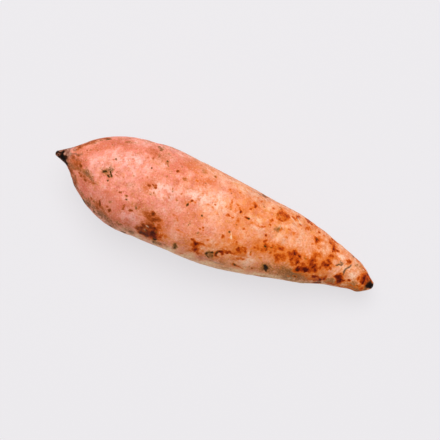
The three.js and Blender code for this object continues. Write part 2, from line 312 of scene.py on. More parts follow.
    (126.9, -10.8, 0.5, 0.9, 0, 0.4), (127.4, -12.0, 0.5, 0.5, 0, 0.35), (127.6, -7.4, 1.0, 0.9, 0, 0.45),
    (129.3, -6.8, 1.4, 1.3, 0, 0.4), (131.0, -19.0, 0.8, 0.5, 0, 0.55), (131.5, -1.8, 0.9, 0.7, 0, 0.85),
    (132.6, -3.6, 1.6, 1.2, 0, 0.45), (132.8, -6.8, 2.0, 1.0, 0, 0.35), (133.0, -0.9, 0.5, 0.8, 0, 0.6),
    (133.4, -11.4, 1.0, 0.5, 30, 0.35), (134.7, -5.8, 0.4, 1.4, 0, 0.5), (135.2, -3.4, 1.4, 1.8, 0, 0.35),
    (137.3, -3.6, 0.8, 0.5, 0, 0.5), (137.6, -6.6, 0.8, 0.8, 0, 0.5), (137.6, -2.0, 0.8, 0.8, 0, 0.45),
    (139.6, -4.2, 1.1, 1.0, 0, 0.4), (139.6, -0.7, 1.3, 0.6, 0, 0.4), (141.4, -6.4, 1.4, 1.2, 0, 0.5),
    (142.0, -7.0, 3.0, 1.6, 0, 0.25), (142.6, -2.4, 1.7, 0.9, 10, 0.6), (142.9, -8.4, 1.5, 1.2, 0, 0.55),
    (143.4, -0.8, 1.0, 0.6, 0, 0.45), (145.0, -5.6, 1.8, 1.4, 0, 0.45), (146.4, -7.8, 1.4, 1.0, 0, 0.4),
    (148.3, -2.7, 1.6, 1.2, 0, 0.6), (149.4, -5.4, 1.2, 1.0, 0, 0.4), (151.0, -2.2, 1.0, 0.6, 0, 0.6),
    (151.6, -7.4, 1.6, 1.0, 0, 0.3), (151.8, -4.6, 1.2, 1.2, 0, 0.6), (152.0, -14.8, 0.8, 0.5, 0, 0.4),
    (152.4, -1.6, 2.4, 1.4, 0, 0.4), (153.6, -5.0, 5.0, 3.6, 0, 0.25), (153.8, -2.0, 1.0, 0.7, 0, 0.7),
    (154.0, -10.6, 3.0, 1.2, 14, 0.1), (154.2, -5.8, 1.1, 1.1, 0, 0.55), (155.4, -9.6, 1.2, 1.2, 0, 0.7),
    (155.6, -13.7, 1.2, 0.7, 0, 0.5), (155.6, -9.2, 2.2, 1.7, 0, 0.5), (155.6, -3.0, 0.8, 0.6, 0, 0.45),
    (157.4, -8.4, 1.4, 0.8, 0, 0.5), (157.6, -5.4, 1.4, 1.2, 0, 0.35), (157.6, -1.6, 2.6, 2.2, 0, 0.25),
    (158.6, -8.0, 3.4, 1.0, 8, 0.4), (160.0, -8.0, 5.0, 2.6, 0, 0.2), (160.4, -7.6, 2.8, 1.6, 0, 0.4),
    (160.6, -8.1, 1.9, 1.0, -8, 1.0), (162.2, -11.0, 0.8, 0.7, 0, 0.4), (162.6, -4.0, 3.0, 3.0, 0, 0.35),
    (162.6, -0.2, 2.0, 1.8, 0, 0.6), (162.8, -3.6, 2.2, 2.2, 0, 0.4), (163.2, -4.2, 1.4, 1.3, 0, 0.6),
    (164.3, -6.0, 1.2, 1.3, 0, 0.3), (165.4, -10.0, 1.3, 0.7, 0, 0.85), (166.2, -5.8, 1.2, 1.5, 0, 0.55),
    (167.4, -3.4, 0.5, 1.1, 0, 0.6), (167.8, -9.2, 1.2, 0.6, 0, 0.55), (168.0, -0.8, 1.1, 1.6, 0, 0.45),
    (168.4, -12.8, 2.4, 0.5, 22, 0.7), (168.4, -10.0, 4.6, 1.5, 14, 0.4),
    (169.8, -10.2, 1.4, 0.7, 10, 0.95), (170.2, -1.2, 2.4, 1.8, 0, 0.5), (170.6, -11.6, 1.0, 0.5, 0, 0.6),
    (171.3, -0.4, 0.8, 0.8, 0, 1.0), (171.4, -3.2, 1.0, 0.6, 0, 0.45), (172.6, -8.4, 0.6, 1.6, 0, 0.8),
    (173.3, -1.4, 0.8, 1.1, 0, 0.55), (176.0, -9.8, 3.0, 0.4, 14, 0.45), (178.4, -5.6, 1.0, 0.9, 0, 0.5),
    (180.0, -5.1, 2.3, 2.4, 0, 0.95), (180.0, -4.9, 1.7, 1.6, 0, 1.0), (180.3, -7.4, 1.1, 0.8, 0, 0.75),
    (182.6, -5.2, 1.0, 0.4, 0, 0.75), (184.0, -8.6, 6.0, 0.4, 5, 0.35),
    (186.0, -4.0, 1.1, 0.5, -15, 0.75), (187.5, -6.0, 3.4, 0.6, 0, 0.3), (190.0, -0.6, 0.7, 1.4, 0, 0.35),
    (191.9, -5.0, 1.0, 0.7, 0, 0.8), (193.4, -2.4, 1.2, 1.0, 10, 0.45), (193.6, -0.9, 2.0, 3.2, 0, 0.5),
    (194.0, -5.6, 1.2, 0.8, 0, 0.5), (194.0, -0.6, 1.2, 3.0, 0, 0.2), (195.3, -1.4, 1.0, 2.2, 0, 0.7),
)

# Wide soft zones of amber, which lie round the rust.
AMBER = (
    # middle, left
    (75.6, 14.4, 2.4, 1.2, 0, 0.4), (88.0, 18.4, 5.0, 2.4, 18, 0.4), (112.6, 9.6, 2.4, 2.2, 0, 0.6),
    (113.0, 2.8, 2.0, 3.0, 0, 0.4), (118.0, 13.6, 3.6, 3.4, 0, 0.5), (120.6, 5.6, 4.0, 1.8, 0, 0.4),
    # middle, right
    (67.5, -18.5, 6.0, 6.0, 0, 0.25), (97.0, -19.6, 4.6, 4.0, 0, 0.6), (104.0, -22.0, 10.0, 2.4, 4, 0.25),
    (110.0, -19.0, 3.0, 3.0, 0, 0.5), (110.0, -12.0, 5.0, 2.8, 20, 0.15),
    (113.5, -14.6, 6.0, 1.8, 5, 0.5), (115.0, -9.0, 4.0, 3.0, 30, 0.5), (119.0, -11.6, 4.4, 2.4, 0, 0.8),
    (122.0, -17.0, 3.4, 1.0, 8, 0.4), (124.0, -9.6, 6.0, 3.0, 15, 0.5),
    # tail, left
    (134.0, 4.0, 6.0, 3.6, 0, 0.2), (136.0, 15.4, 4.4, 3.2, -20, 0.35), (152.0, 14.6, 4.0, 2.0, 0, 0.3),
    (160.6, 10.6, 2.8, 3.4, 0, 0.6), (162.5, 1.6, 3.0, 3.6, 0, 0.7), (165.0, 11.0, 9.0, 4.0, -18, 0.3),
    (168.8, 11.4, 3.0, 2.2, -20, 0.85), (171.0, 0.2, 3.6, 3.6, 0, 0.8), (171.4, 6.2, 2.4, 2.0, 0, 0.6),
    (181.8, 6.2, 2.0, 1.8, 0, 0.5),
    # tail, right
    (126.0, -3.0, 5.0, 3.0, 0, 0.3), (130.5, -6.6, 5.0, 2.6, 0, 0.7), (138.0, -4.0, 6.0, 4.0, 0, 0.6),
    (145.0, -4.6, 5.5, 4.6, 0, 0.7), (151.5, -3.6, 5.5, 4.6, 0, 0.8), (157.0, -8.4, 6.0, 2.0, 0, 0.5),
    (163.0, -3.6, 4.4, 6.4, 0, 0.9), (166.5, -6.0, 4.4, 3.0, 0, 0.7), (170.0, -7.0, 6.0, 3.0, 12, 0.35),
    (180.6, -5.4, 3.4, 3.0, 0, 0.7), (188.0, -5.2, 6.0, 1.6, 0, 0.3), (193.4, -0.6, 3.0, 4.0, 0, 0.8),
)

# Nearly black specks and sunken spots, olive towards their rims.
SPOTS = (
    # crown, left
    (16.9, 8.0, 0.3, 0.3, 0, 0.4), (18.2, 2.4, 0.4, 0.5, 0, 0.4), (18.6, 9.1, 0.4, 0.3, 30, 0.4),
    (20.9, 11.4, 0.4, 0.4, 0, 0.4), (22.6, 10.2, 0.4, 0.4, -30, 0.35), (25.8, 18.8, 1.3, 0.5, 42, 0.6),
    (27.0, 19.4, 0.6, 0.4, -30, 0.4), (29.1, 16.4, 0.4, 0.4, 0, 0.4), (29.3, 0.9, 0.4, 0.4, 0, 0.45),
    (30.4, 0.2, 0.9, 0.7, 40, 0.8), (31.5, 1.3, 0.6, 0.4, 50, 0.6), (32.3, 0.6, 0.6, 0.4, 30, 0.5),
    (32.8, 3.6, 0.3, 0.8, 0, 0.4), (34.0, 0.2, 0.6, 0.5, 0, 0.5), (34.2, 9.9, 0.5, 0.8, 0, 0.6),
    (34.3, 1.3, 0.9, 0.6, -20, 0.8), (35.0, 3.4, 0.8, 0.3, 30, 0.45), (35.2, 0.2, 0.8, 0.5, -60, 0.7),
    (36.3, 21.2, 0.8, 0.4, 30, 0.4), (37.0, 0.8, 0.8, 0.3, -20, 0.35), (45.0, 4.6, 0.4, 0.4, 0, 0.3),
    (47.4, 4.4, 0.5, 0.4, 0, 0.5), (55.0, 12.7, 0.5, 0.5, 0, 0.8), (57.0, 24.8, 0.8, 0.5, -60, 0.4),
    # crown, right
    (14.8, -10.9, 1.5, 0.4, -44, 0.65), (15.4, -3.8, 1.0, 0.4, 20, 0.35), (17.4, -5.1, 0.5, 0.4, 0, 0.5),
    (18.8, -5.8, 0.5, 0.3, 0, 0.4), (20.4, -4.4, 0.4, 0.3, 0, 0.5), (22.0, -3.0, 0.5, 0.4, 0, 0.3),
    (22.2, -8.5, 0.5, 0.4, 0, 0.4), (23.2, -5.6, 0.4, 0.3, 0, 0.5), (24.6, -3.8, 0.4, 0.3, 0, 0.4),
    (25.6, -5.0, 0.5, 0.4, 0, 0.5), (26.4, -20.3, 1.8, 0.5, -32, 0.9), (27.0, -7.4, 0.5, 0.3, 0, 0.45),
    (30.0, -0.6, 0.5, 0.5, 0, 0.6), (31.7, -18.2, 0.6, 0.5, 0, 0.5), (32.2, -0.4, 0.4, 0.4, 0, 0.4),
    (33.4, -1.2, 0.9, 0.5, -20, 0.75), (34.1, -23.5, 0.9, 0.6, -20, 0.6), (34.4, -3.8, 0.5, 0.6, 0, 0.8),
    (34.6, -1.8, 0.6, 0.5, -40, 0.5), (35.8, -0.8, 0.5, 0.4, 0, 0.55), (40.4, -14.9, 0.8, 0.6, 20, 0.4),
    (41.8, -6.6, 0.4, 0.6, 0, 0.3), (44.6, -7.0, 0.4, 0.7, 0, 0.4), (45.8, -27.3, 1.2, 0.5, 5, 0.65),
    (48.2, -8.0, 0.7, 0.5, 0, 0.6), (48.7, -9.9, 0.5, 0.4, 0, 0.75), (54.2, -28.0, 1.4, 0.5, 5, 0.8),
    (55.4, -12.3, 0.5, 0.8, 30, 0.5),
    # middle, left
    (60.1, 3.8, 0.4, 0.4, 0, 0.4), (60.8, 2.6, 0.4, 0.5, 0, 0.45), (62.0, 19.9, 0.5, 0.5, 0, 0.75),
    (71.1, 6.4, 0.3, 0.6, 0, 0.35), (71.8, 4.6, 0.5, 0.5, 0, 0.55), (76.2, 1.1, 0.5, 0.4, 0, 0.45),
    (77.3, 5.1, 0.4, 0.5, 0, 0.3), (82.7, 0.8, 0.5, 1.0, 0, 0.75), (84.0, 3.8, 0.6, 0.4, 35, 0.65),
    (91.3, 22.2, 0.8, 0.5, 0, 0.45), (112.6, 8.9, 0.5, 0.6, -20, 0.6), (118.3, 7.0, 0.6, 0.4, -5, 0.8),
    (121.8, 22.8, 1.4, 0.4, -20, 0.55), (124.0, 17.0, 0.7, 0.3, -30, 0.3),
    # middle, right
    (60.5, -1.6, 0.8, 0.4, -25, 0.45), (62.0, -0.3, 0.4, 0.6, 0, 0.45), (63.4, -24.7, 0.9, 0.6, 0, 0.65),
    (66.0, -22.6, 1.2, 0.8, 10, 0.5), (67.0, -11.8, 0.4, 0.4, 0, 0.3), (68.0, -25.4, 1.4, 0.7, 0, 0.5),
    (68.3, -19.5, 0.7, 0.6, 0, 0.6), (68.8, -16.7, 0.5, 0.5, 0, 0.6), (70.3, -22.0, 0.8, 0.8, 0, 0.75),
    (71.6, -20.8, 0.8, 1.0, 0, 0.5), (72.6, -26.5, 0.9, 0.6, 0, 0.6), (72.7, -24.9, 1.1, 0.8, 10, 0.95),
    (84.6, -23.4, 1.0, 1.2, 0, 0.55), (85.4, -25.0, 0.8, 0.8, 0, 0.6), (87.9, -8.6, 0.6, 0.6, 0, 0.35),
    (92.9, -1.8, 0.6, 0.5, 20, 0.7), (94.4, -11.6, 0.8, 0.5, 45, 0.5), (94.6, -9.3, 0.5, 0.4, 0, 0.4),
    (96.3, -17.9, 0.8, 0.5, 0, 0.5), (103.4, -21.2, 0.6, 1.0, 0, 0.8), (104.3, -22.4, 1.0, 0.4, 0, 0.65),
    (104.3, -9.2, 0.3, 0.6, 15, 0.3), (104.4, -19.5, 0.8, 0.4, 30, 0.55),
    (105.4, -20.6, 1.0, 0.8, 0, 0.3), (106.0, -19.3, 0.9, 0.5, 30, 0.8),
    (107.0, -20.9, 0.5, 0.8, 0, 0.55), (108.7, -18.3, 0.6, 1.4, 0, 0.75),
    (109.6, -20.4, 0.7, 0.3, 20, 0.45), (110.6, -16.7, 0.9, 0.3, 20, 0.5),
    (110.9, -4.3, 0.5, 0.6, -30, 0.75), (112.4, -3.6, 0.3, 0.4, 0, 0.35),
    (121.2, -20.9, 1.1, 0.5, -8, 0.6),
    # tail, left
    (127.6, 5.0, 0.5, 0.3, 0, 0.35), (131.3, 1.7, 0.4, 0.4, 0, 0.4), (133.3, 19.4, 0.6, 0.5, 0, 0.35),
    (133.4, 15.6, 0.4, 1.2, 0, 0.45), (135.2, 2.2, 0.3, 0.8, 0, 0.35), (136.0, 9.0, 0.5, 0.3, -30, 0.35),
    (137.0, 8.2, 0.8, 0.7, 0, 0.45), (138.2, 15.6, 0.6, 0.4, 0, 0.4), (138.4, 9.3, 0.7, 0.3, 40, 0.4),
    (159.2, 11.2, 0.6, 0.8, -20, 0.6), (168.2, 12.2, 0.6, 0.4, 0, 0.25), (175.7, 1.4, 0.4, 0.5, 0, 0.45),
    (183.0, 9.8, 0.7, 0.4, 0, 0.9), (194.4, 3.4, 0.7, 0.4, -40, 0.55),
    # tail, right
    (126.8, -10.6, 0.4, 0.7, 0, 0.45), (131.0, -19.0, 0.7, 0.4, 0, 0.45), (133.1, -4.1, 0.6, 0.5, 0, 0.8),
    (134.7, -5.4, 0.3, 0.9, 0, 0.45), (136.0, -6.4, 0.4, 0.4, 0, 0.45), (137.2, -3.6, 0.6, 0.4, 0, 0.6),
    (137.6, -6.6, 0.4, 0.4, 0, 0.4), (137.7, -15.2, 1.3, 1.1, 0, 1.0), (138.9, -17.1, 1.1, 0.8, 0, 0.6),
    (138.9, -15.8, 1.2, 1.1, 0, 0.9), (155.5, -9.8, 0.9, 0.9, 0, 0.75), (155.6, -13.8, 1.0, 0.6, 5, 0.55),
    (157.4, -1.9, 0.6, 0.8, 0, 0.35), (168.0, -12.9, 1.6, 0.3, 22, 0.5),
    (170.6, -11.6, 0.9, 0.4, 15, 0.75), (191.6, -5.1, 0.7, 0.4, 0, 0.45),
)

# Washes of dried soil, ochre where they are thin and olive brown where they are thick. Some are painted
# shade: the long washes along the lower rim on the right side, the wide ones low on the tail's right
# flank, and those on the shoulders by the stub.
SOIL_AND_SHADE = (
    # crown, left
    (10.0, 4.6, 2.4, 1.0, 38, 0.35), (12.0, 8.0, 3.0, 1.6, 42, 0.4), (14.0, 4.0, 4.0, 3.0, 20, 0.25),
    (16.0, 14.4, 8.0, 0.8, 42, 0.3), (16.6, 12.6, 3.0, 0.8, 45, 0.5), (17.0, 13.0, 7.0, 2.6, 45, 0.3),
    (18.6, 8.8, 1.4, 0.7, 30, 0.2), (21.4, 11.4, 1.4, 0.9, 20, 0.25), (21.6, 16.2, 3.0, 0.7, 42, 0.5),
    (25.8, 18.7, 1.6, 0.7, 40, 0.6), (27.6, 7.2, 0.9, 0.6, 0, 0.25), (32.6, 0.6, 1.6, 0.9, 0, 0.45),
    (32.6, 1.4, 3.4, 2.4, 10, 0.6), (33.3, 5.0, 0.5, 1.3, 0, 0.55), (33.6, 2.2, 1.0, 0.8, 0, 0.4),
    (34.4, 3.0, 1.8, 1.6, 0, 0.6), (35.0, 3.3, 1.3, 0.5, 35, 0.55), (36.2, 20.9, 1.4, 0.8, 28, 0.5),
    (37.5, 23.4, 0.9, 0.5, 20, 0.45), (37.6, 2.8, 0.9, 0.5, 0, 0.5), (39.4, 22.6, 3.0, 0.8, 12, 0.5),
    (44.0, 25.3, 5.0, 0.5, 13, 0.3), (48.5, 26.5, 3.0, 0.4, 10, 0.35), (49.8, 0.3, 0.8, 0.5, 30, 0.45),
    (50.6, 16.4, 1.0, 0.8, 0, 0.25), (53.5, 1.4, 0.7, 0.7, 0, 0.35), (54.3, 25.5, 1.2, 0.8, 0, 0.55),
    (56.6, 27.8, 1.1, 0.4, 0, 0.7), (56.7, 20.9, 0.9, 1.3, 0, 0.7), (56.8, 24.8, 1.0, 1.1, 0, 0.75),
    (57.0, 26.3, 0.8, 0.6, 0, 0.5),
    # crown, right
    (9.0, -2.4, 2.0, 2.0, -30, 0.4), (11.5, -6.0, 3.0, 0.9, -42, 0.8), (12.5, -3.4, 3.4, 2.0, -25, 0.55),
    (13.0, -4.6, 2.6, 1.2, -30, 0.5), (14.6, -10.8, 2.2, 0.6, -42, 0.7),
    (15.0, -10.6, 6.0, 1.0, -45, 0.6), (16.0, -4.0, 1.8, 0.8, 10, 0.5), (16.0, -2.0, 3.4, 2.4, -20, 0.4),
    (16.5, -10.8, 4.0, 1.0, -44, 0.6), (17.5, -5.0, 0.8, 0.5, 0, 0.5), (18.4, -13.6, 3.0, 0.8, -42, 0.55),
    (20.0, -5.0, 5.0, 2.6, -14, 0.42), (20.5, -5.2, 2.4, 1.2, -15, 0.55),
    (21.0, -3.4, 2.6, 1.4, -10, 0.4), (23.0, -17.4, 4.0, 0.9, -38, 0.5), (24.5, -6.4, 1.6, 1.0, -20, 0.5),
    (25.6, -5.0, 0.8, 0.5, 0, 0.35), (26.0, -7.4, 4.0, 1.8, -12, 0.38), (26.6, -8.2, 1.6, 0.9, -10, 0.45),
    (28.8, -8.0, 1.0, 0.6, 0, 0.3), (29.4, -20.2, 3.8, 1.6, -30, 0.65), (31.6, -1.0, 1.0, 0.7, 0, 0.4),
    (34.1, -23.5, 1.2, 0.8, -20, 0.5), (35.0, -0.8, 1.2, 1.0, 0, 0.35),
    (36.0, -24.0, 14.0, 2.0, -22, 0.35), (36.0, -22.4, 4.6, 1.6, -18, 0.5),
    (36.0, -20.4, 6.0, 2.0, -22, 0.5), (40.0, -23.4, 4.5, 1.6, -14, 0.4),
    (40.4, -14.9, 1.1, 0.8, 20, 0.5), (41.8, -6.6, 0.7, 1.0, 0, 0.4), (42.0, -22.0, 6.0, 2.2, -14, 0.3),
    (45.8, -27.3, 1.4, 0.6, 0, 0.6), (46.0, -24.6, 4.5, 1.7, -6, 0.4), (46.2, -2.0, 0.6, 1.0, 0, 0.4),
    (49.5, -24.6, 1.8, 1.1, 0, 0.45), (50.0, -27.2, 6.0, 0.7, -3, 0.35), (53.4, -24.6, 4.0, 1.4, 0, 0.3),
    (54.2, -27.9, 1.6, 0.6, 0, 0.6), (55.2, -12.2, 0.7, 0.9, -50, 0.4),
    # middle, left
    (61.0, 2.4, 0.8, 0.8, 0, 0.35), (61.0, 20.0, 5.0, 6.0, 0, 0.25), (62.0, 18.6, 0.7, 0.9, 0, 0.3),
    (62.0, 24.0, 0.9, 0.6, 0, 0.45), (63.9, 17.8, 2.4, 0.6, -42, 0.5), (65.0, 11.8, 0.9, 0.5, 0, 0.35),
    (66.2, 14.6, 1.6, 1.2, 0, 0.35), (71.7, 4.9, 0.6, 0.8, 0, 0.35), (72.0, 27.5, 2.2, 0.4, 0, 0.5),
    (74.0, 24.6, 8.0, 3.0, 0, 0.2), (75.3, 14.4, 1.7, 0.8, -5, 0.65), (75.4, 6.2, 0.5, 0.4, 0, 0.4),
    (76.2, 1.1, 0.6, 0.5, 0, 0.4), (83.8, 22.6, 1.5, 1.2, 0, 0.6), (84.2, 24.2, 0.9, 0.6, 0, 0.45),
    (91.3, 22.2, 1.2, 0.8, 0, 0.4), (106.9, 8.3, 0.6, 0.6, 0, 0.45), (118.8, 3.0, 0.5, 0.5, 0, 0.35),
    (124.0, 17.0, 0.9, 0.5, -30, 0.45),
    # middle, right
    (58.5, -25.2, 4.0, 1.4, 0, 0.35), (59.0, -26.6, 1.3, 0.8, 0, 0.5), (60.6, -1.6, 1.1, 0.7, -20, 0.5),
    (62.0, -12.5, 14.0, 4.0, 0, 0.2), (62.6, -0.9, 0.8, 0.7, 0, 0.4), (63.4, -24.7, 1.4, 0.9, 0, 0.5),
    (64.0, -12.0, 14.0, 4.0, 0, 0.12), (66.0, -23.0, 6.0, 3.0, 0, 0.3), (68.8, -16.8, 0.7, 0.7, 0, 0.4),
    (72.7, -26.0, 1.4, 1.6, 0, 0.7), (75.5, -26.2, 3.0, 1.0, 0, 0.4), (79.0, -26.0, 4.0, 1.0, 0, 0.4),
    (84.2, -23.4, 1.0, 1.2, 0, 0.5), (85.4, -24.0, 1.4, 2.0, 0, 0.75), (87.9, -8.6, 0.8, 0.9, 0, 0.5),
    (88.0, -6.9, 0.4, 0.8, 0, 0.3), (90.0, -26.6, 3.0, 0.6, 0, 0.3), (94.4, -13.0, 0.7, 0.6, 0, 0.3),
    (94.4, -11.6, 1.0, 0.8, 45, 0.5), (103.4, -21.2, 0.7, 1.3, 0, 0.8),
    (104.4, -9.4, 0.4, 0.9, -40, 0.35), (105.0, -24.6, 5.0, 0.5, 4, 0.3),
    (105.0, -22.3, 1.6, 0.5, 0, 0.6), (105.4, -20.7, 2.4, 2.0, 0, 0.7),
    (105.9, -19.4, 1.1, 0.7, 30, 0.85), (107.0, -21.2, 1.0, 1.0, 0, 0.6),
    (108.0, -16.4, 3.4, 1.8, 10, 0.35), (110.9, -4.4, 0.7, 0.8, -30, 0.5),
    (111.0, -22.6, 5.0, 0.6, 8, 0.3), (114.0, -11.0, 0.6, 0.5, 0, 0.35), (115.0, -22.0, 5.0, 1.0, 8, 0.3),
    (118.0, -22.6, 5.0, 0.5, 10, 0.35), (119.0, -24.2, 7.0, 1.0, 10, 0.4),
    (121.4, -20.8, 2.0, 0.7, 0, 0.4),
    # tail, left
    (127.5, 5.0, 0.8, 0.5, 0, 0.4), (128.4, 11.6, 0.8, 0.5, 0, 0.3), (130.0, 3.7, 1.3, 0.4, -35, 0.45),
    (131.2, 7.4, 0.8, 0.6, 0, 0.35), (133.3, 19.3, 1.0, 0.9, 0, 0.6), (133.6, 15.8, 0.8, 1.8, 0, 0.4),
    (135.2, 2.2, 0.4, 1.0, 0, 0.5), (136.0, 16.0, 3.2, 2.4, -20, 0.6), (136.0, 16.0, 3.4, 2.4, 0, 0.42),
    (136.4, 14.8, 0.9, 0.8, 0, 0.5), (137.0, 4.2, 0.4, 0.8, 0, 0.4), (137.0, 8.4, 1.9, 1.5, 0, 0.65),
    (137.0, 9.0, 3.4, 2.6, 0, 0.3), (138.3, 9.2, 1.0, 0.4, 40, 0.4), (138.4, 15.5, 0.9, 0.7, 0, 0.55),
    (139.8, 8.8, 0.8, 0.5, 0, 0.3), (155.4, 4.4, 0.6, 0.5, 0, 0.3), (159.2, 11.3, 1.0, 1.0, 0, 0.4),
    (168.0, 12.4, 1.7, 1.3, -20, 0.55), (168.4, 12.6, 2.4, 1.4, -20, 0.4), (175.7, 1.4, 0.5, 0.6, 0, 0.6),
    (176.7, 1.9, 1.2, 0.4, 35, 0.6), (177.6, 2.8, 1.6, 1.2, 30, 0.45), (178.0, 2.8, 0.8, 0.6, 0, 0.5),
    (178.6, 3.8, 1.0, 0.4, 0, 0.6), (181.6, 0.4, 2.0, 0.7, 78, 0.4), (183.2, 3.8, 1.5, 0.8, 62, 0.2),
    (186.6, 6.4, 0.8, 0.4, 0, 0.3), (186.8, 5.6, 2.2, 1.1, -20, 0.55), (192.5, 4.4, 4.4, 1.5, -40, 0.4),
    (197.5, 0.8, 1.4, 0.5, -36, 0.6),
    # tail, right
    (126.0, -19.8, 5.0, 0.6, 12, 0.35), (126.8, -10.5, 0.6, 0.9, 0, 0.5),
    (133.4, -11.4, 1.1, 0.6, 30, 0.45), (134.0, -18.4, 5.0, 1.3, 12, 0.35),
    (136.0, -14.0, 5.0, 2.6, 12, 0.15), (138.3, -15.8, 2.8, 2.4, 0, 0.9),
    (140.0, -20.2, 6.0, 0.5, 14, 0.5), (141.0, -12.2, 3.0, 2.0, 0, 0.2), (143.5, -1.5, 0.7, 0.5, 0, 0.35),
    (144.0, -16.0, 5.0, 1.2, 14, 0.15), (145.0, -6.0, 13.0, 3.6, -4, 0.28),
    (146.0, -13.0, 9.0, 3.2, 13, 0.34), (146.8, -8.8, 0.9, 0.8, 0, 0.35),
    (147.0, -17.0, 9.0, 2.0, 14, 0.3), (150.0, -13.2, 5.0, 2.2, 12, 0.5),
    (150.0, -10.6, 4.0, 2.0, 10, 0.3), (152.0, -17.4, 7.0, 0.5, 14, 0.5),
    (152.0, -15.0, 4.0, 1.2, 14, 0.35), (152.0, -14.8, 1.0, 0.6, 0, 0.5),
    (153.0, -11.6, 3.8, 2.0, 14, 0.75), (154.0, -11.0, 6.0, 2.4, 14, 0.35),
    (154.2, -5.9, 1.2, 1.0, 0, 0.5), (154.6, -11.6, 3.0, 2.4, 0, 0.5), (155.6, -13.8, 1.5, 0.9, 0, 0.7),
    (155.6, -10.0, 2.2, 1.6, 0, 0.6), (157.3, -1.9, 1.1, 1.2, 0, 0.75),
    (158.0, -12.0, 6.0, 2.4, 16, 0.36), (158.8, -11.0, 3.0, 1.4, 0, 0.3), (160.0, -8.8, 5.0, 1.8, 0, 0.3),
    (163.0, -14.8, 6.0, 0.5, 18, 0.5), (163.0, -11.6, 11.0, 3.0, 20, 0.5),
    (170.5, -11.7, 1.2, 0.5, 15, 0.7), (175.0, -10.0, 4.0, 0.5, 14, 0.5),
    (175.0, -9.2, 5.0, 1.2, 10, 0.25), (176.0, -8.8, 7.0, 1.8, 10, 0.45),
    (178.0, -7.0, 5.0, 2.0, 10, 0.3), (184.0, -8.8, 7.0, 0.5, 5, 0.55), (187.5, -6.0, 3.6, 0.8, 0, 0.5),
    (188.0, -3.4, 7.0, 4.0, 0, 0.3), (189.0, -4.4, 4.0, 1.4, 0, 0.55), (189.4, -6.2, 3.6, 1.3, 0, 0.6),
    (191.0, -6.2, 4.0, 1.4, 0, 0.8), (192.0, -5.2, 1.2, 0.8, 0, 0.6), (194.0, -0.5, 2.4, 4.0, 0, 0.35),
    (194.4, -6.4, 2.0, 1.2, 20, 0.5), (195.9, -1.0, 1.0, 2.6, 0, 0.8), (196.2, -3.8, 1.3, 1.8, 20, 0.95),
)
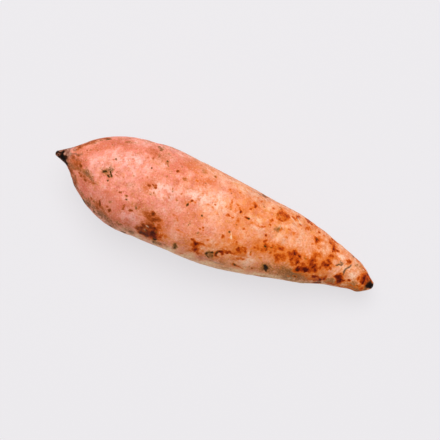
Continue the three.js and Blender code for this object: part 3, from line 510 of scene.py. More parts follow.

# Rubbed places, paler than the skin round them. Some are painted light: the broad pale patches over the
# top between x 30 and 110 are painted highlights, and the thin pale rows along both rims are partly rubbed
# skin and partly painted light.
SCUFFS_AND_PAINTED_LIGHT = (
    # crown, left
    (8.0, 3.6, 1.4, 0.4, 60, 0.4), (24.0, 4.0, 4.0, 4.0, 10, 0.5), (31.0, 8.6, 5.0, 4.0, 20, 0.5),
    (32.5, 2.6, 1.2, 0.8, 0, 0.5), (33.0, 11.6, 2.4, 1.8, 0, 0.4), (38.0, 10.6, 4.0, 3.0, 10, 0.65),
    (40.0, 24.6, 8.0, 0.5, 18, 0.4), (40.5, 6.4, 4.5, 2.2, 0, 0.35), (44.0, 12.0, 7.0, 4.4, 8, 0.5),
    (44.6, 14.0, 5.0, 2.8, 15, 0.75), (46.4, 4.4, 3.0, 2.4, 0, 0.35), (48.0, 9.4, 3.0, 3.0, 0, 0.5),
    (53.0, 10.6, 3.0, 2.4, 0, 0.35), (55.6, 11.4, 1.4, 0.9, 0, 0.35),
    # crown, right
    (25.6, -3.6, 3.6, 2.0, -10, 0.45), (28.2, -15.4, 2.0, 1.6, -30, 0.4),
    (30.0, -12.4, 2.4, 1.0, -20, 0.2), (44.0, -1.0, 6.0, 2.6, 0, 0.3), (50.0, -10.6, 2.4, 1.4, 0, 0.35),
    (50.0, -1.0, 5.0, 3.0, 0, 0.3), (54.0, -19.0, 5.0, 4.0, 0, 0.3), (54.0, -18.0, 5.0, 3.0, 0, 0.45),
    # middle, left
    (58.0, 14.4, 4.0, 2.4, 0, 0.3), (64.0, 21.6, 2.6, 1.8, 0, 0.3), (65.0, 27.2, 9.0, 0.8, 0, 0.5),
    (66.4, 3.4, 4.4, 2.8, -10, 0.55), (68.0, 3.0, 7.0, 5.0, 0, 0.35), (68.0, 5.0, 6.0, 4.0, 0, 0.45),
    (68.0, 6.6, 3.0, 0.5, -38, 0.7), (72.6, 1.4, 3.4, 3.0, 0, 0.5), (76.0, 7.6, 3.0, 2.6, 0, 0.45),
    (81.0, 7.4, 3.4, 2.4, 0, 0.5), (86.3, 7.8, 3.8, 1.9, 35, 0.95), (86.4, 5.4, 2.0, 3.0, 0, 0.4),
    (87.0, 4.6, 4.0, 2.4, 0, 0.5), (88.0, 7.4, 7.0, 3.6, 0, 0.55), (90.0, 10.4, 4.0, 1.8, 0, 0.5),
    (92.0, 8.0, 9.0, 4.0, 0, 0.4), (93.0, 22.0, 8.0, 2.0, -3, 0.35), (94.6, 3.2, 2.8, 0.9, -15, 0.5),
    (95.0, 24.8, 10.0, 0.8, -3, 0.45), (98.0, 1.0, 3.0, 2.0, 0, 0.3), (98.4, 10.0, 3.6, 2.4, 0, 0.65),
    (100.0, 4.4, 3.0, 2.0, 0, 0.45), (100.0, 8.6, 5.0, 3.6, 0, 0.4), (100.0, 15.0, 4.0, 2.0, 0, 0.35),
    (104.0, 22.4, 5.0, 1.6, -5, 0.35), (105.0, 5.2, 6.0, 2.4, 0, 0.5), (109.4, 6.6, 2.6, 2.0, 0, 0.45),
    (112.0, 23.4, 8.0, 0.5, -6, 0.5), (114.0, 19.6, 10.0, 3.0, -8, 0.4),
    (118.0, 21.4, 9.0, 0.8, -8, 0.55), (122.6, 8.6, 2.6, 1.0, 0, 0.5),
    # middle, right
    (68.0, -6.0, 6.0, 2.4, 0, 0.3), (84.0, -11.4, 5.0, 2.4, 0, 0.2), (84.6, -17.6, 4.0, 2.0, 0, 0.35),
    (102.0, -5.0, 4.0, 5.0, 0, 0.35), (107.0, -23.4, 4.0, 1.0, 6, 0.35), (120.0, -3.0, 4.0, 2.4, 0, 0.3),
    (121.0, -14.4, 1.4, 0.8, 0, 0.4), (123.0, -14.2, 2.4, 1.2, 8, 0.35),
    (124.6, -14.4, 4.0, 1.8, 10, 0.8),
    # tail, left
    (125.0, 3.0, 4.4, 2.0, 0, 0.65), (126.4, 8.4, 1.6, 1.0, 0, 0.4), (128.0, 0.4, 2.4, 1.4, 0, 0.4),
    (132.0, 21.2, 9.0, 0.9, -5, 0.6), (133.6, 4.6, 2.4, 1.8, 0, 0.45), (141.0, 3.4, 4.0, 2.6, 0, 0.45),
    (144.0, 20.4, 3.0, 0.5, -10, 0.5), (146.0, 12.4, 3.0, 1.4, -10, 0.5), (151.0, 4.6, 5.0, 2.8, 0, 0.45),
    (152.0, 10.0, 4.0, 1.8, 0, 0.4), (158.6, 2.4, 1.6, 2.4, 0, 0.35), (162.0, 16.2, 5.0, 0.5, -18, 0.4),
    (165.6, 7.6, 3.4, 2.4, 0, 0.6), (165.6, 12.4, 1.6, 1.2, 0, 0.4), (168.0, 3.4, 2.4, 2.0, 0, 0.35),
    (171.0, 5.0, 4.0, 2.0, 0, 0.3), (175.0, 3.6, 1.6, 1.4, 0, 0.4), (176.4, 6.4, 3.2, 2.0, -10, 0.7),
    (178.0, 11.0, 5.0, 0.4, -20, 0.4), (178.6, 1.6, 1.4, 1.0, 0, 0.8), (180.6, 4.0, 1.0, 1.6, 0, 0.6),
    (182.0, 4.6, 9.0, 4.6, -15, 0.35), (186.0, 7.0, 3.0, 0.8, -25, 0.6), (187.0, 1.2, 3.4, 2.8, 0, 0.85),
    # tail, right
    (127.0, -15.6, 5.0, 2.6, 10, 0.4), (128.5, -12.2, 4.0, 2.2, 0, 0.3), (167.0, -8.0, 2.4, 0.9, 10, 0.4),
    (176.0, -3.4, 2.6, 2.0, 0, 0.6), (184.6, -7.4, 6.0, 0.6, 3, 0.45), (184.6, -1.6, 2.0, 1.6, 0, 0.6),
    (188.6, -2.4, 2.0, 1.2, 0, 0.6),
)

# Redder, deeper-coloured places in the skin, and painted shade: the wide soft ones on the right half of
# the crown and the middle, which faces away from the lamp, and those on the shoulders by the stub.
FLUSHES_AND_SHADE = (
    # crown, left
    (14.0, 5.0, 5.0, 3.0, 30, 0.7), (15.0, 0.0, 5.0, 4.0, -5, 0.9), (21.0, 8.6, 4.0, 2.4, 40, 0.5),
    (24.0, 14.0, 6.0, 2.4, 40, 0.7), (31.0, 17.6, 3.0, 1.8, 10, 0.8), (36.0, 19.0, 4.0, 1.6, 14, 0.4),
    (42.0, 21.6, 6.0, 2.0, 12, 0.4), (54.0, 4.0, 2.4, 2.4, 0, 0.4), (54.0, 22.8, 4.0, 2.6, 0, 0.85),
    (56.0, 21.0, 7.0, 4.0, 0, 0.5),
    # crown, right
    (12.0, -4.0, 4.0, 2.6, -30, 0.6), (22.0, -11.8, 6.0, 2.4, -40, 0.7), (29.0, -4.6, 2.0, 1.0, 0, 0.2),
    (35.0, -11.2, 6.0, 2.0, 0, 0.6), (38.0, -16.0, 8.0, 6.0, -15, 0.7), (46.0, -12.6, 6.0, 3.0, 0, 0.45),
    (52.0, -19.0, 8.0, 5.0, 0, 0.5),
    # middle, left
    (58.2, 6.0, 4.2, 2.8, 10, 0.8), (58.6, 21.0, 3.0, 2.4, 0, 0.5), (66.0, 17.0, 3.0, 1.0, -40, 0.4),
    (68.0, 21.0, 8.0, 4.0, 0, 0.55), (70.0, 17.0, 3.0, 1.6, 0, 0.5), (72.6, 22.0, 5.0, 2.2, 0, 0.9),
    (75.0, 25.0, 5.0, 1.4, -5, 0.8), (76.0, 22.0, 8.0, 4.0, 0, 0.4), (80.0, 20.4, 3.4, 1.8, 0, 0.6),
    (81.6, 1.6, 4.0, 2.8, 0, 0.7), (82.4, 16.4, 3.0, 2.2, 0, 0.7), (85.0, 15.8, 2.6, 1.2, 20, 0.5),
    (88.6, 18.4, 4.0, 1.8, 20, 0.8), (93.0, 20.0, 7.0, 4.0, 0, 0.4), (96.0, 17.4, 5.0, 1.6, 0, 0.35),
    (104.0, 18.4, 5.0, 1.8, 0, 0.5), (105.6, 12.0, 2.6, 1.0, -58, 0.6), (107.0, 2.8, 4.0, 2.2, 0, 0.5),
    (109.8, 8.4, 1.4, 3.4, 0, 0.5), (112.0, 15.0, 6.0, 4.0, 0, 0.4), (112.4, 9.8, 3.0, 2.2, -10, 0.8),
    (113.0, 2.4, 2.4, 2.4, 0, 0.5), (115.4, 11.4, 3.0, 1.6, 0, 0.4), (117.4, 14.6, 4.0, 3.0, 0, 0.9),
    (120.6, 5.2, 4.0, 1.2, 0, 0.6), (124.4, 11.4, 3.0, 1.6, 0, 0.3),
    # middle, right
    (72.6, -14.6, 3.0, 2.6, 0, 0.6), (74.0, -19.0, 3.0, 2.4, 0, 0.6), (77.0, -5.0, 8.0, 7.0, 0, 0.4),
    (79.0, -8.4, 4.0, 2.0, 0, 0.4), (82.0, -15.0, 9.0, 7.0, 0, 0.4), (86.0, -4.6, 2.4, 2.4, -40, 0.5),
    (90.0, -12.6, 5.0, 2.0, 0, 0.3), (91.0, -1.4, 3.4, 1.6, 0, 0.5), (100.0, -8.0, 3.0, 3.0, 0, 0.2),
    (103.0, -7.0, 9.0, 6.0, 0, 0.5), (117.4, -6.4, 3.0, 2.4, 0, 0.4), (118.0, -3.0, 7.0, 5.0, 0, 0.5),
    (124.0, -7.0, 4.0, 2.4, 0, 0.4),
    # tail, left
    (131.0, 13.0, 2.6, 3.0, 0, 0.4), (131.4, 10.4, 1.6, 1.2, 0, 0.4), (146.0, 8.6, 2.4, 2.4, 0, 0.4),
    (152.0, 7.0, 6.0, 5.0, 0, 0.5), (152.6, 14.4, 3.0, 1.2, 0, 0.4), (158.0, 7.4, 2.4, 1.6, 0, 0.4),
    (161.0, 3.6, 2.0, 2.0, 0, 0.4), (161.4, 10.4, 3.0, 3.0, 0, 0.5), (163.0, 0.0, 4.0, 4.0, 0, 0.6),
    (171.0, 1.0, 4.0, 3.0, 0, 0.5), (171.6, 7.6, 3.0, 2.4, 0, 0.5),
    # tail, right
    (133.0, -3.4, 5.0, 3.4, 0, 0.6), (142.0, -4.6, 6.0, 3.4, 0, 0.45), (150.0, -3.4, 6.0, 3.0, 0, 0.6),
    (192.6, -0.6, 2.6, 3.4, 0, 0.5),
)

# Places that stay as pink as the crown.
ROSY = (
    (101.0, -8.0, 8.0, 6.0, 0, 1.0), (101.0, 18.0, 9.0, 6.0, 0, 0.8), (112.0, 19.5, 12.0, 3.4, -8, 0.35),
    (128.0, 14.0, 9.0, 5.0, 0, 0.5), (180.0, 0.0, 5.0, 9.0, 0, 0.6),
)

# Grooves: the folds near the tail, the creases where the crown runs into the stub, and thin lines that
# run lengthwise near the two sides.
CREASES = (
    # crown, left
    (11.0, 3.5, 5.0, 0.6, 28, 0.5), (13.0, 0.5, 5.0, 0.5, 0, 0.35),
    # crown, right
    (12.0, -4.0, 5.0, 0.6, -36, 0.25), (16.0, -10.2, 5.0, 0.5, -50, 0.4),
    # middle, left
    (118.0, 22.6, 5.0, 0.4, -8, 0.4), (122.5, 22.6, 3.0, 0.6, -12, 0.6),
    # middle, right
    (104.0, -24.6, 6.0, 0.4, 4, 0.35), (113.0, -23.8, 6.0, 0.4, 7, 0.4),
    # tail, left
    (143.8, 13.9, 2.4, 0.4, -26, 0.3), (176.4, 1.9, 1.0, 0.4, 40, 0.9), (177.4, 4.0, 1.0, 0.35, -15, 0.7),
    (178.3, 2.6, 0.5, 0.4, 60, 0.7), (178.4, 2.9, 1.2, 0.4, 62, 0.9), (181.6, 0.9, 1.4, 0.35, 76, 1.0),
    (182.4, 2.5, 1.4, 0.35, 54, 1.0), (183.4, 4.0, 1.4, 0.3, 62, 0.9),
    # tail, right
    (168.6, -12.4, 3.0, 0.5, 22, 0.5), (181.3, -0.9, 1.6, 0.35, 94, 1.0),
)

# Flakes of dry skin, paler than all that lies under them.
FLAKES = (
    (2.2, 1.2, 0.4, 0.6, 0, 0.5), (2.4, 0.0, 0.4, 0.3, 0, 0.35), (2.6, -1.6, 0.5, 0.3, 30, 0.6),
    (6.0, 2.8, 0.4, 1.0, 40, 0.4), (8.6, 2.6, 0.5, 1.2, 30, 0.5), (26.6, -19.3, 1.6, 0.3, -34, 0.4),
    (64.8, -22.0, 0.8, 0.3, 0, 0.35), (64.8, -19.3, 0.5, 0.3, 0, 0.4), (66.0, -20.0, 0.8, 0.3, 0, 0.55),
    (104.8, -20.8, 0.8, 0.4, 0, 0.25), (109.9, -18.7, 0.6, 0.8, 0, 0.4),
    (112.5, -5.3, 1.7, 0.25, -62, 0.5), (113.4, -7.1, 1.1, 0.6, -62, 0.7),
    (143.0, 15.8, 3.6, 0.5, -34, 0.45), (146.0, 16.8, 2.2, 0.6, -42, 0.55),
)

# Charred and rotted places at the two broken ends.
CHAR = (
    # crown, left
    (1.0, 0.7, 0.6, 0.5, 0, 1.0), (2.0, 0.0, 1.8, 1.6, 0, 0.3), (2.6, 0.8, 0.5, 0.4, 0, 0.5),
    (4.4, 2.0, 0.5, 0.9, 0, 0.75),
    # crown, right
    (0.8, -0.6, 0.4, 0.4, 0, 0.8), (2.1, -0.8, 0.5, 0.4, 0, 0.7), (3.0, -1.7, 0.6, 0.5, -20, 0.8),
    (4.3, -0.2, 0.9, 2.0, 0, 0.95), (5.8, -1.8, 1.7, 1.3, -15, 0.9), (7.2, -2.7, 1.6, 0.8, -30, 0.55),
    (7.4, -0.8, 1.8, 1.0, -20, 0.4), (9.2, -4.0, 2.0, 0.8, -38, 0.45), (11.0, -5.6, 2.4, 0.6, -42, 0.25),
    # tail, right
    (196.6, -3.8, 1.4, 1.1, 30, 0.4), (196.6, -1.6, 1.8, 2.4, 0, 0.4), (197.4, -2.6, 1.0, 1.0, 0, 0.65),
    (197.5, -0.9, 0.9, 1.0, 0, 0.5), (198.4, -2.2, 0.8, 1.3, 0, 0.85), (199.3, -1.8, 0.7, 1.6, 0, 0.7),
)

# --- Random relief and fields ----------------------------------------------------------------------


def ripples(points, size, seed, stretch=(1, 1, 1), count=26):
    """Soft random relief, mostly between -1 and 1: the sum of plane waves of about the given wavelength
    with random directions and phases, after the points are divided by stretch along each axis."""
    draw = np.random.default_rng(seed)
    heading = draw.normal(size=(3, count))
    heading /= np.linalg.norm(heading, axis=0)
    wavenumber = TURN / (size * draw.uniform(0.7, 1.45, count))
    phase = draw.uniform(0, TURN, count)
    waves = np.cos((points / np.array(stretch)) @ (heading * wavenumber) + phase)
    return waves.sum(axis=-1) / math.sqrt(count)


def smooth(value, low, high):
    """0 up to low, 1 from high, and a smooth rise between. With low above high it falls instead."""
    share = np.clip((value - low) / (high - low), 0, 1)
    return share * share * (3 - 2 * share)


class Skin:
    """The points of the plain skin, the directions there, and fields that are laid out over it."""

    def __init__(self, points):
        self.points = points
        self.along, self.around, self.out = directions(points)
        self.from_crown = points[..., 0] - LOW[0]
        nearness = (EYE[2] - MEASURED_AT) / (EYE[2] - points[..., 2:])
        self.seen = EYE[:2] + (points[..., :2] - EYE[:2]) * nearness
        self.bends = np.stack([ripples(points, 7, seed) for seed in (1, 2, 3)], axis=-1)
        self.frays = np.stack([ripples(points, 2.4, seed) for seed in (51, 52, 53)], axis=-1)

    def place_seen_from_above(self, x, y):
        """Row and column of the upper skin's point that the eye sees at x from the crown's end and y
        to the left: lines from the eye are followed to the height at which marks are measured."""
        gap = (self.seen[..., 0] - LOW[0] + CROWN_END - x) ** 2 + (self.seen[..., 1] - y) ** 2
        return np.unravel_index(np.argmin(np.where(self.out[..., 2] > 0, gap, np.inf)), gap.shape)

    def straight_on(self, place):
        """The skin's own directions at a place: along the root, round it, and outwards."""
        return np.stack([self.along[place], self.around[place], self.out[place]])

    def blot(self, place, axes, half_length, half_width, tilt, softness):
        """1 in the middle of an ellipse that lies on the skin, a half at its ragged edge, and 0 beyond.
        The axes point lengthwise, to the left and through the ellipse, and the larger the ellipse is,
        the more it is bent and frayed."""
        half_length = half_length + BLEED
        half_width = half_width + BLEED
        size = math.sqrt(half_length * half_width)
        bends = BEND * min(size, BENT_UP_TO) * self.bends
        frays = FRAY * min(size, FRAYED_UP_TO) * self.frays
        wandering = self.points + bends + frays
        offset = wandering - wandering[place]
        lengthwise, leftwards, through = np.moveaxis(offset @ axes.T, -1, 0)
        cosine, sine = math.cos(math.radians(tilt)), math.sin(math.radians(tilt))
        distance = np.sqrt(
            ((lengthwise * cosine + leftwards * sine) / half_length) ** 2
            + ((leftwards * cosine - lengthwise * sine) / half_width) ** 2
            + (through / (half_length + half_width)) ** 2
        )
        return smooth(distance, 1 + softness, 1 - softness)

    def field(self, softness, marks, strewn=()):
        """Marks laid over each other: one minus the product of what every mark leaves clear. The marks
        of a table have their shape as seen from above, and strewn ones as seen straight on."""
        clear = np.ones(self.from_crown.shape)
        for x, y, *shape, strength in marks:
            place = self.place_seen_from_above(x, y)
            clear *= 1 - strength * self.blot(place, FROM_ABOVE, *shape, softness)
        for row, column, *shape, strength in strewn:
            place = (row, column)
            clear *= 1 - strength * self.blot(place, self.straight_on(place), *shape, softness)
        return 1 - clear

    def strew(self, count, seed, sizes, strengths, likely, longest=2.0):
        """Marks strewn at random over the skin, evenly by area times the likelihood at each point. Each
        is a row and column, half-length, half-width, tilt and strength."""
        draw = np.random.default_rng(seed)
        cell = np.cross(np.gradient(self.points, axis=0), np.gradient(self.points, axis=1))
        weight = (np.linalg.norm(cell, axis=-1) * likely).ravel()
        picks = draw.choice(weight.size, count, replace=False, p=weight / weight.sum())
        rows, columns = np.unravel_index(picks, likely.shape)
        half_width = draw.uniform(*sizes, count)
        half_length = half_width * draw.uniform(1, longest, count)
        tilt = draw.uniform(0, 180, count)
        strength = draw.uniform(*strengths, count)
        return tuple(zip(rows, columns, half_length, half_width, tilt, strength))


rings = even_rings()
turned = np.linspace(0, TURN, COLUMNS, endpoint=False)
angles = turned + TOPWARD * np.cos(turned)  # closer together round a quarter turn, which is the top
skin = Skin(fitted(body_surface(rings, angles)))
from_crown = skin.from_crown
facing_left, facing_up = skin.out[..., 1], skin.out[..., 2]

below = smooth(facing_up, 0.25, -0.05)  # 1 on the skin that faces sideways or down
tailward = smooth(from_crown, 60, 150)
away_from_ends = smooth(from_crown, 8, 16) * smooth(from_crown, 197, 188)
hidden = below * away_from_ends
underneath = smooth(facing_up, -0.1, -0.5)
stub_end = underneath * smooth(from_crown, 9, 6)
tail_end = underneath * smooth(from_crown, 195, 198)

# What is strewn over the skin that no table reaches: count, seed, sizes, strengths and where.
strewn_rust = skin.strew(90, 21, (0.4, 1.9), (0.2, 0.6), below * (0.25 + tailward) * away_from_ends)
strewn_amber = skin.strew(24, 30, (2.0, 5.0), (0.2, 0.5), below * tailward * away_from_ends)
strewn_spots = skin.strew(60, 22, (0.4, 1.1), (0.3, 0.85), hidden, longest=1.4)
strewn_soil = skin.strew(46, 24, (1.2, 3.6), (0.2, 0.5), hidden, longest=3.0)
strewn_scuffs = skin.strew(40, 25, (0.7, 3.0), (0.2, 0.5), hidden, longest=3.0)
strewn_flushes = skin.strew(40, 26, (2.0, 4.5), (0.3, 0.7), hidden, longest=2.5)
strewn_creases = skin.strew(34, 27, (0.4, 0.6), (0.3, 0.8), hidden, longest=7.0)
strewn_flakes = skin.strew(30, 29, (0.3, 0.7), (0.3, 0.8), hidden, longest=4.0)
stub_char = skin.strew(10, 28, (0.4, 0.9), (0.4, 0.9), stub_end)
tail_char = skin.strew(12, 33, (0.6, 1.3), (0.5, 0.9), tail_end)

fields = {
    "rust": skin.field(0.8, RUST, strewn_rust),
    "amber": skin.field(0.95, AMBER, strewn_amber),
    "spots": skin.field(0.6, SPOTS, strewn_spots),
    "soil_and_shade": skin.field(0.7, SOIL_AND_SHADE, strewn_soil),
    "scuffs_and_painted_light": skin.field(0.8, SCUFFS_AND_PAINTED_LIGHT, strewn_scuffs),
    "flushes_and_shade": skin.field(0.8, FLUSHES_AND_SHADE, strewn_flushes),
    "creases": skin.field(0.6, CREASES, strewn_creases),
    "flakes": skin.field(0.5, FLAKES, strewn_flakes),
    "char": skin.field(0.8, CHAR, stub_char + tail_char),
    # paler band low on the right side, between the lit top and the underside: partly dust, and partly
    # painted light that stands in for light bounced up from the floor
    "dust_and_bounce_light": smooth(facing_up + 0.1 * ripples(skin.points, 9, 35), 0.58, 0.25)
    * smooth(facing_up + 0.25 * ripples(skin.points, 12, 36), -0.5, 0.2)
    * smooth(facing_left, 0.2, -0.5)
    * smooth(from_crown, 30, 80)
    * smooth(from_crown, 190, 165),
    # 0 where the skin is the crown's pink, and 1 where it is the tail's orange
    "warmth": smooth(from_crown + 10 * ripples(skin.points, 40, 31) - 18 * skin.field(1.0, ROSY), 40, 122),
    # grey-brown bark of the vine stub
    "bark": smooth(from_crown + 0.8 * ripples(skin.points, 3, 32), 10.4, 6.6),
    # painted shade: the skin is darkened brown where it faces down, away from the broken ends
    "underside_shade": smooth(facing_up + 0.1 * ripples(skin.points, 10, 34), 0.16, -0.3) * away_from_ends,
}


def relief():
    """How far the skin is lifted off the plain form: soft lumps at three sizes, the finest drawn out
    round the root, ridges that fan out from the stub, pits where there are spots, creases and rust, and
    a hollow in the stub's broken end."""
    points = skin.points
    radius = np.linalg.norm(points - points.mean(axis=1, keepdims=True), axis=-1)
    lumps = sum(
        height * ripples(points, size, seed, stretch=(1, drawn_out, drawn_out))
        for height, size, seed, drawn_out in LUMPS
    )
    turns = angles + 0.5 * ripples(points, 18, 44)
    ridges = RIDGE_HEIGHT * np.cos(RIDGES * turns) * smooth(from_crown, 6, 10) * smooth(from_crown, 30, 10)
    pits = sum(depth * fields[name] for name, depth in PIT_DEPTHS.items())
    hollow = STUB_DEPTH * skin.field(1.0, (STUB_HOLLOW,))
    return (lumps + ridges) * smooth(radius, 0, 12) - pits - hollow


# --- Mesh ------------------------------------------------------------------------------------------


def settled(points):
    """The points with their underside eased flat onto the floor: a height h becomes half the sum of h
    and the root of h squared plus a small square, which is never below 0."""
    height = points[..., 2]
    points[..., 2] = (height + np.sqrt(height**2 + EASING**2)) / 2
    return points


def end_cap(rim, bulge):
    """Rings across a broken end, from its middle out to its rim: the rim drawn in towards its centre,
    and pushed out by bulge times one minus the square of the share of the radius."""
    centre = rim.mean(axis=0)
    share = (np.arange(1, CAP_ROWS) / CAP_ROWS)[:, None, None]
    return centre + (rim - centre) * share + np.array([bulge, 0, 0]) * (1 - share**2)


def closed_mesh(name, points, poles):
    """A mesh from rings of points: four-sided faces between the rings, and a fan to each pole."""
    rows, columns = points.shape[:2]
    index = np.arange(rows * columns).reshape(rows, columns)
    onward = np.roll(index, -1, axis=1)
    quads = np.stack([index[:-1], onward[:-1], onward[1:], index[1:]], axis=-1).reshape(-1, 4)
    first = np.stack([np.full(columns, rows * columns), onward[0], index[0]], axis=-1)
    last = np.stack([np.full(columns, rows * columns + 1), index[-1], onward[-1]], axis=-1)
    vertices = np.concatenate([points.reshape(-1, 3), poles]) * MM
    mesh = bpy.data.meshes.new(name)
    mesh.from_pydata(vertices.tolist(), [], quads.tolist() + first.tolist() + last.tolist())
    mesh.shade_smooth()
    piece = bpy.data.objects.new(name, mesh)
    bpy.context.scene.collection.objects.link(piece)
    return piece


def store_field(mesh, name, field):
    """Keeps a field on the mesh's points, for the finish to read. The broken ends repeat their rims."""
    first, last = field[:1], field[-1:]
    rows = np.concatenate([first] * (CAP_ROWS - 1) + [field] + [last] * (CAP_ROWS - 1))
    values = np.concatenate([rows.ravel(), [first.mean(), last.mean()]])
    attribute = mesh.attributes.new(name, "FLOAT", "POINT")
    attribute.data.foreach_set("value", values.astype(np.float32))


def make_root():
    """The whole root: the skin with its relief, closed by the two broken ends."""
    body = settled(skin.points + skin.out * relief()[..., None])
    ends = ((body[0], STUB_BULGE), (body[-1], TAIL_BULGE))
    stub_cap, tail_cap = (end_cap(rim, bulge) for rim, bulge in ends)
    poles = [rim.mean(axis=0) + np.array([bulge, 0, 0]) for rim, bulge in ends]
    piece = closed_mesh("sweet_potato_skin", np.concatenate([stub_cap, body, tail_cap[::-1]]), poles)
    for name, field in fields.items():
        store_field(piece.data, name, field)
    return piece


# --- Finishes --------------------------------------------------------------------------------------


def colour(red, green, blue):
    """A colour written in display values from 0 to 255, as the linear values that shaders take."""
    shares = (red / 255, green / 255, blue / 255)
    return (*(v / 12.92 if v <= 0.04045 else ((v + 0.055) / 1.055) ** 2.4 for v in shares), 1.0)


class Finish:
    """A material built from nodes. Methods named for what they work out return an output to wire on."""

    def __init__(self, name):
        self.material = bpy.data.materials.new(name)
        self.material.use_nodes = True
        self.tree = self.material.node_tree
        self.shader = self.tree.nodes["Principled BSDF"]

    def node(self, kind, inputs, **settings):
        node = self.tree.nodes.new(kind)
        for setting, value in settings.items():
            setattr(node, setting, value)
        for socket, value in inputs.items():
            self.feed(node.inputs[socket], value)
        return node

    def feed(self, socket, value):
        if isinstance(value, bpy.types.NodeSocket):
            self.tree.links.new(value, socket)
        else:
            socket.default_value = value

    def field(self, name):
        """A field that the mesh carries."""
        return self.node("ShaderNodeAttribute", {}, attribute_name=name).outputs["Fac"]

    def place(self, size, stretch, shift):
        """Where a point lies, in lumps about size millimetres across, times stretch."""
        return self.node("ShaderNodeMapping", {
            "Vector": self.node("ShaderNodeTexCoord", {}).outputs["Object"],
            "Location": (shift, shift, shift),
            "Scale": tuple(1 / (size * MM * share) for share in stretch),
        }).outputs["Vector"]

    def noise(self, size, detail=3.0, roughness=0.5, stretch=(1, 1, 1), shift=0.0):
        """Fractal noise spread between 0 and 1."""
        texture = self.node("ShaderNodeTexNoise", {
            "Vector": self.place(size, stretch, shift),
            "Scale": 1.0,
            "Detail": detail,
            "Roughness": roughness,
        })
        return self.node("ShaderNodeMapRange", {
            "Value": texture.outputs["Fac"], "From Min": 0.3, "From Max": 0.7,
        }).outputs["Result"]

    def dots(self, size, reach):
        """Round dots about size millimetres apart: 1 in the middle of a dot, 0 from its edge. Their reach
        differs at random up to the given share of the spacing, and many are missing."""
        spaced = self.place(size, (1, 1, 1), 0.0)
        cells = self.node("ShaderNodeTexVoronoi", {"Vector": spaced, "Scale": 1.0})
        chance = self.node("ShaderNodeSeparateColor", {"Color": cells.outputs["Color"]}).outputs[0]
        edge = self.math("MULTIPLY", self.rise(chance, 0.35, 1.0), reach)
        return self.node("ShaderNodeMapRange", {
            "Value": cells.outputs["Distance"], "From Min": edge, "From Max": 0.0,
        }, interpolation_type="SMOOTHSTEP").outputs["Result"]

    def rise(self, value, low, high, top=1.0):
        """0 up to low, top from high, and a smooth rise between."""
        return self.node("ShaderNodeMapRange", {
            "Value": value, "From Min": low, "From Max": high, "To Max": top,
        }, interpolation_type="SMOOTHSTEP").outputs["Result"]

    def math(self, operation, first, second):
        return self.node("ShaderNodeMath", {0: first, 1: second}, operation=operation).outputs[0]

    def plus(self, first, second):
        return self.math("ADD", first, second)

    def minus(self, first, second):
        return self.math("SUBTRACT", first, second)

    def times(self, first, second):
        return self.math("MULTIPLY", first, second)

    def larger(self, first, second):
        return self.math("MAXIMUM", first, second)

    def ramp(self, value, *stops):
        """A colour ramp. Each stop is its place, and red, green and blue in display values."""
        node = self.node("ShaderNodeValToRGB", {"Fac": value})
        elements = node.color_ramp.elements
        while len(elements) < len(stops):
            elements.new(0.5)
        for element, (place, *shade) in zip(elements, stops):
            element.position = place
            element.color = colour(*shade)
        return node.outputs["Color"]

    def blend(self, share, under, over, blend_type="MIX"):
        """One colour over another by the given share. The node's two colours are its sockets 6 and 7."""
        inputs = {"Factor": share, 6: under, 7: over}
        return self.node("ShaderNodeMix", inputs, data_type="RGBA", blend_type=blend_type).outputs[2]


